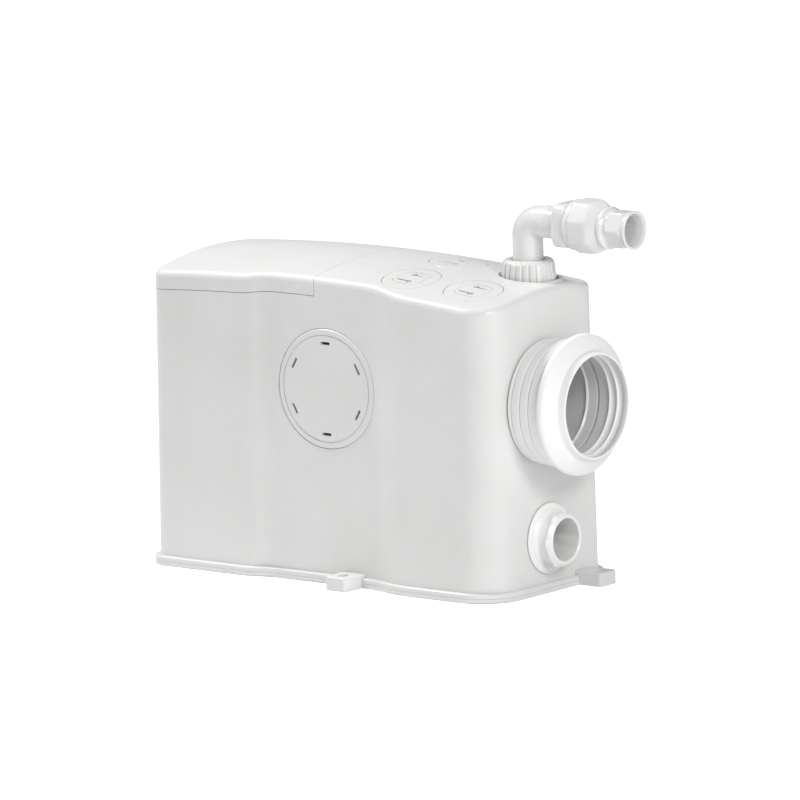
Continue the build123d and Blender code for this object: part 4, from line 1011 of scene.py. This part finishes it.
@dataclass
class RiserNut:
    """The toothed nut that holds the elbow on the riser."""

    place: tuple[float, float] = (161.3, 34.5)
    low: float = 285.3
    top: float = 305.3
    wide: float = 26.2
    narrow: float = 24.4
    thread: float = 21.3
    hole: float = 16.4
    lip: float = 2.5
    teeth: int = 24
    groove_depth: float = 1.1
    groove_share: float = 0.16
    groove_fade: float = 1.6

    def radius_at(self, place: float, angle: float, radius: float) -> float:
        """Cuts the grooves between the teeth.

        Args:
            place: Height on the nut.
            angle: Turn about the riser, in radians.
            radius: The round radius.

        Returns:
            The shaped radius.
        """
        if radius < self.thread + 0.4 or place > self.top - 0.3:
            return radius
        share = (angle * self.teeth / (2 * math.pi)) % 1.0
        groove = 1.0 / (1.0 + (abs(share - 0.5) / self.groove_share) ** 6)
        fade = min(1.0, max(0.0, (self.top - 0.3 - place) / self.groove_fade))
        return radius - self.groove_depth * groove * fade

    def build(self, palette: Palette) -> None:
        """Makes the nut."""
        corners = [
            (self.low, self.thread, 0.3),
            (self.low, self.wide - 0.8, 0.5),
            (self.low + 1.0, self.wide, 0.6),
            (self.top - 3.4, self.narrow, 0.5),
            (self.top - 1.9, self.narrow - 0.7, 0.6),
            (self.top, self.narrow - 3.0, 0.6),
            (self.top, self.hole + 0.8, 0.3),
            (self.top - 0.8, self.hole, 0.4),
            (self.top - self.lip, self.hole, 0.2),
            (self.top - self.lip, self.thread, 0.2),
        ]
        TurnedPiece(
            "riser_toothed_nut", "union_nut", "union_nut", "white_gloss", Along.Z, self.place, corners, 384,
            self.radius_at,
        ).build(palette)


@dataclass(frozen=True)
class SoftLight:
    """A square soft light, placed from the middle of the picture."""

    name: str
    offset: tuple[float, float, float]
    side: float
    power: float


@dataclass
class Studio:
    """Pale floor, soft light and the photograph's camera."""

    azimuth: float = 38.282
    elevation: float = 10.032
    roll: float = 1.456
    distance: float = 11.226
    target: tuple[float, float, float] = (0.04485, -0.016, 0.1688)
    lens: float = 540.0
    sensor: float = 36.0
    floor_size: float = 60.0
    floor_tone: float = 0.9
    floor_glow: float = 0.66
    sky: float = 0.345
    backdrop: float = 1.0
    lights: tuple[SoftLight, ...] = (
        SoftLight("key_top", (-1.15, -0.22, 1.75), 0.45, 34.5),
        SoftLight("key_front", (2.0, -0.85, 1.15), 0.7, 22.0),
        SoftLight("fill_end", (2.25, -0.4, 0.1), 0.9, 5.8),
    )

    def axes(self) -> tuple[Vector, Vector, Vector]:
        """Gives the camera's right, up and backward directions."""
        a, e, r = (math.radians(v) for v in (self.azimuth, self.elevation, self.roll))
        back = Vector((math.sin(a) * math.cos(e), -math.cos(a) * math.cos(e), math.sin(e)))
        right = Vector((math.cos(a), math.sin(a), 0.0))
        up = back.cross(right)
        turned_right = right * math.cos(r) - up * math.sin(r)
        turned_up = right * math.sin(r) + up * math.cos(r)
        return turned_right, turned_up, back

    def add_camera(self) -> None:
        """Places the photograph's camera."""
        data = bpy.data.cameras.new("photo_camera")
        data.lens = self.lens
        data.sensor_width = self.sensor
        data.clip_start = 0.1
        data.clip_end = 100.0
        camera = bpy.data.objects.new("photo_camera", data)
        right, up, back = self.axes()
        turn = Matrix((right, up, back)).transposed().to_4x4()
        camera.matrix_world = Matrix.Translation(Vector(self.target) + back * self.distance) @ turn
        bpy.context.collection.objects.link(camera)
        bpy.context.scene.camera = camera

    def add_light(self, lamp: SoftLight) -> None:
        """Adds a soft square light that faces the middle of the picture.

        Args:
            lamp: The light's name, place, side in metres and power in watts.
        """
        data = bpy.data.lights.new(lamp.name, "AREA")
        data.shape = "SQUARE"
        data.size = lamp.side
        data.energy = lamp.power
        light = bpy.data.objects.new(lamp.name, data)
        aim = Vector(self.target)
        place = aim + Vector(lamp.offset)
        light.location = place
        light.rotation_mode = "QUATERNION"
        light.rotation_quaternion = (aim - place).to_track_quat("-Z", "Y")
        bpy.context.collection.objects.link(light)

    def add_floor(self) -> None:
        """Lays the plain pale floor."""
        half = self.floor_size / 2
        mesh = bpy.data.meshes.new("floor")
        corners = [(-half, -half, 0.0), (half, -half, 0.0), (half, half, 0.0), (-half, half, 0.0)]
        mesh.from_pydata(corners, [], [(0, 1, 2, 3)])
        floor = bpy.data.objects.new("floor", mesh)
        material = bpy.data.materials.new("floor_pale")
        material.use_nodes = True
        shader = material.node_tree.nodes["Principled BSDF"]
        shader.inputs["Base Color"].default_value = (self.floor_tone, self.floor_tone, self.floor_tone, 1.0)
        shader.inputs["Roughness"].default_value = 0.9
        shader.inputs["Emission Color"].default_value = (1.0, 1.0, 1.0, 1.0)
        path = add_node(material.node_tree, "ShaderNodeLightPath")
        glow = add_node(
            material.node_tree,
            "ShaderNodeMath",
            {0: path.outputs["Is Camera Ray"], 1: self.floor_glow},
            operation="MULTIPLY",
        )
        material.node_tree.links.new(glow.outputs[0], shader.inputs["Emission Strength"])
        mesh.materials.append(material)
        bpy.context.collection.objects.link(floor)

    def add_world(self) -> None:
        """Sets the even pale surroundings."""
        world = bpy.data.worlds.new("studio")
        world.use_nodes = True
        tree = world.node_tree
        sky = tree.nodes["Background"]
        sky.inputs["Color"].default_value = (1.0, 1.0, 1.0, 1.0)
        path = add_node(tree, "ShaderNodeLightPath")
        level = add_node(
            tree, "ShaderNodeMapRange", {0: path.outputs["Is Camera Ray"], 3: self.sky, 4: self.backdrop}
        )
        tree.links.new(level.outputs[0], sky.inputs["Strength"])
        bpy.context.scene.world = world

    def build(self) -> None:
        """Builds the whole studio."""
        self.add_world()
        self.add_floor()
        for lamp in self.lights:
            self.add_light(lamp)
        self.add_camera()
        view = bpy.context.scene.view_settings
        view.view_transform = "Standard"
        LOG.info("studio ready")


def main() -> None:
    """Builds the looks in order and reports each piece."""
    logging.basicConfig(level=logging.INFO, format="%(message)s")
    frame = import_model()
    palette = Palette()
    shell = Shell()
    shell.build(frame, palette)
    plumbing = Plumbing()
    plumbing.build(frame, palette)
    pieces = [PanSleeve(), WasteSocket(), OutletValve(), RiserNut()]
    for piece in pieces:
        piece.build(palette)
    Mechanism().build(frame, palette, set(shell.nodes()) | set(plumbing.members) | set(REPLACED_NODES))
    Studio().build()


if __name__ == "__main__":
    main()
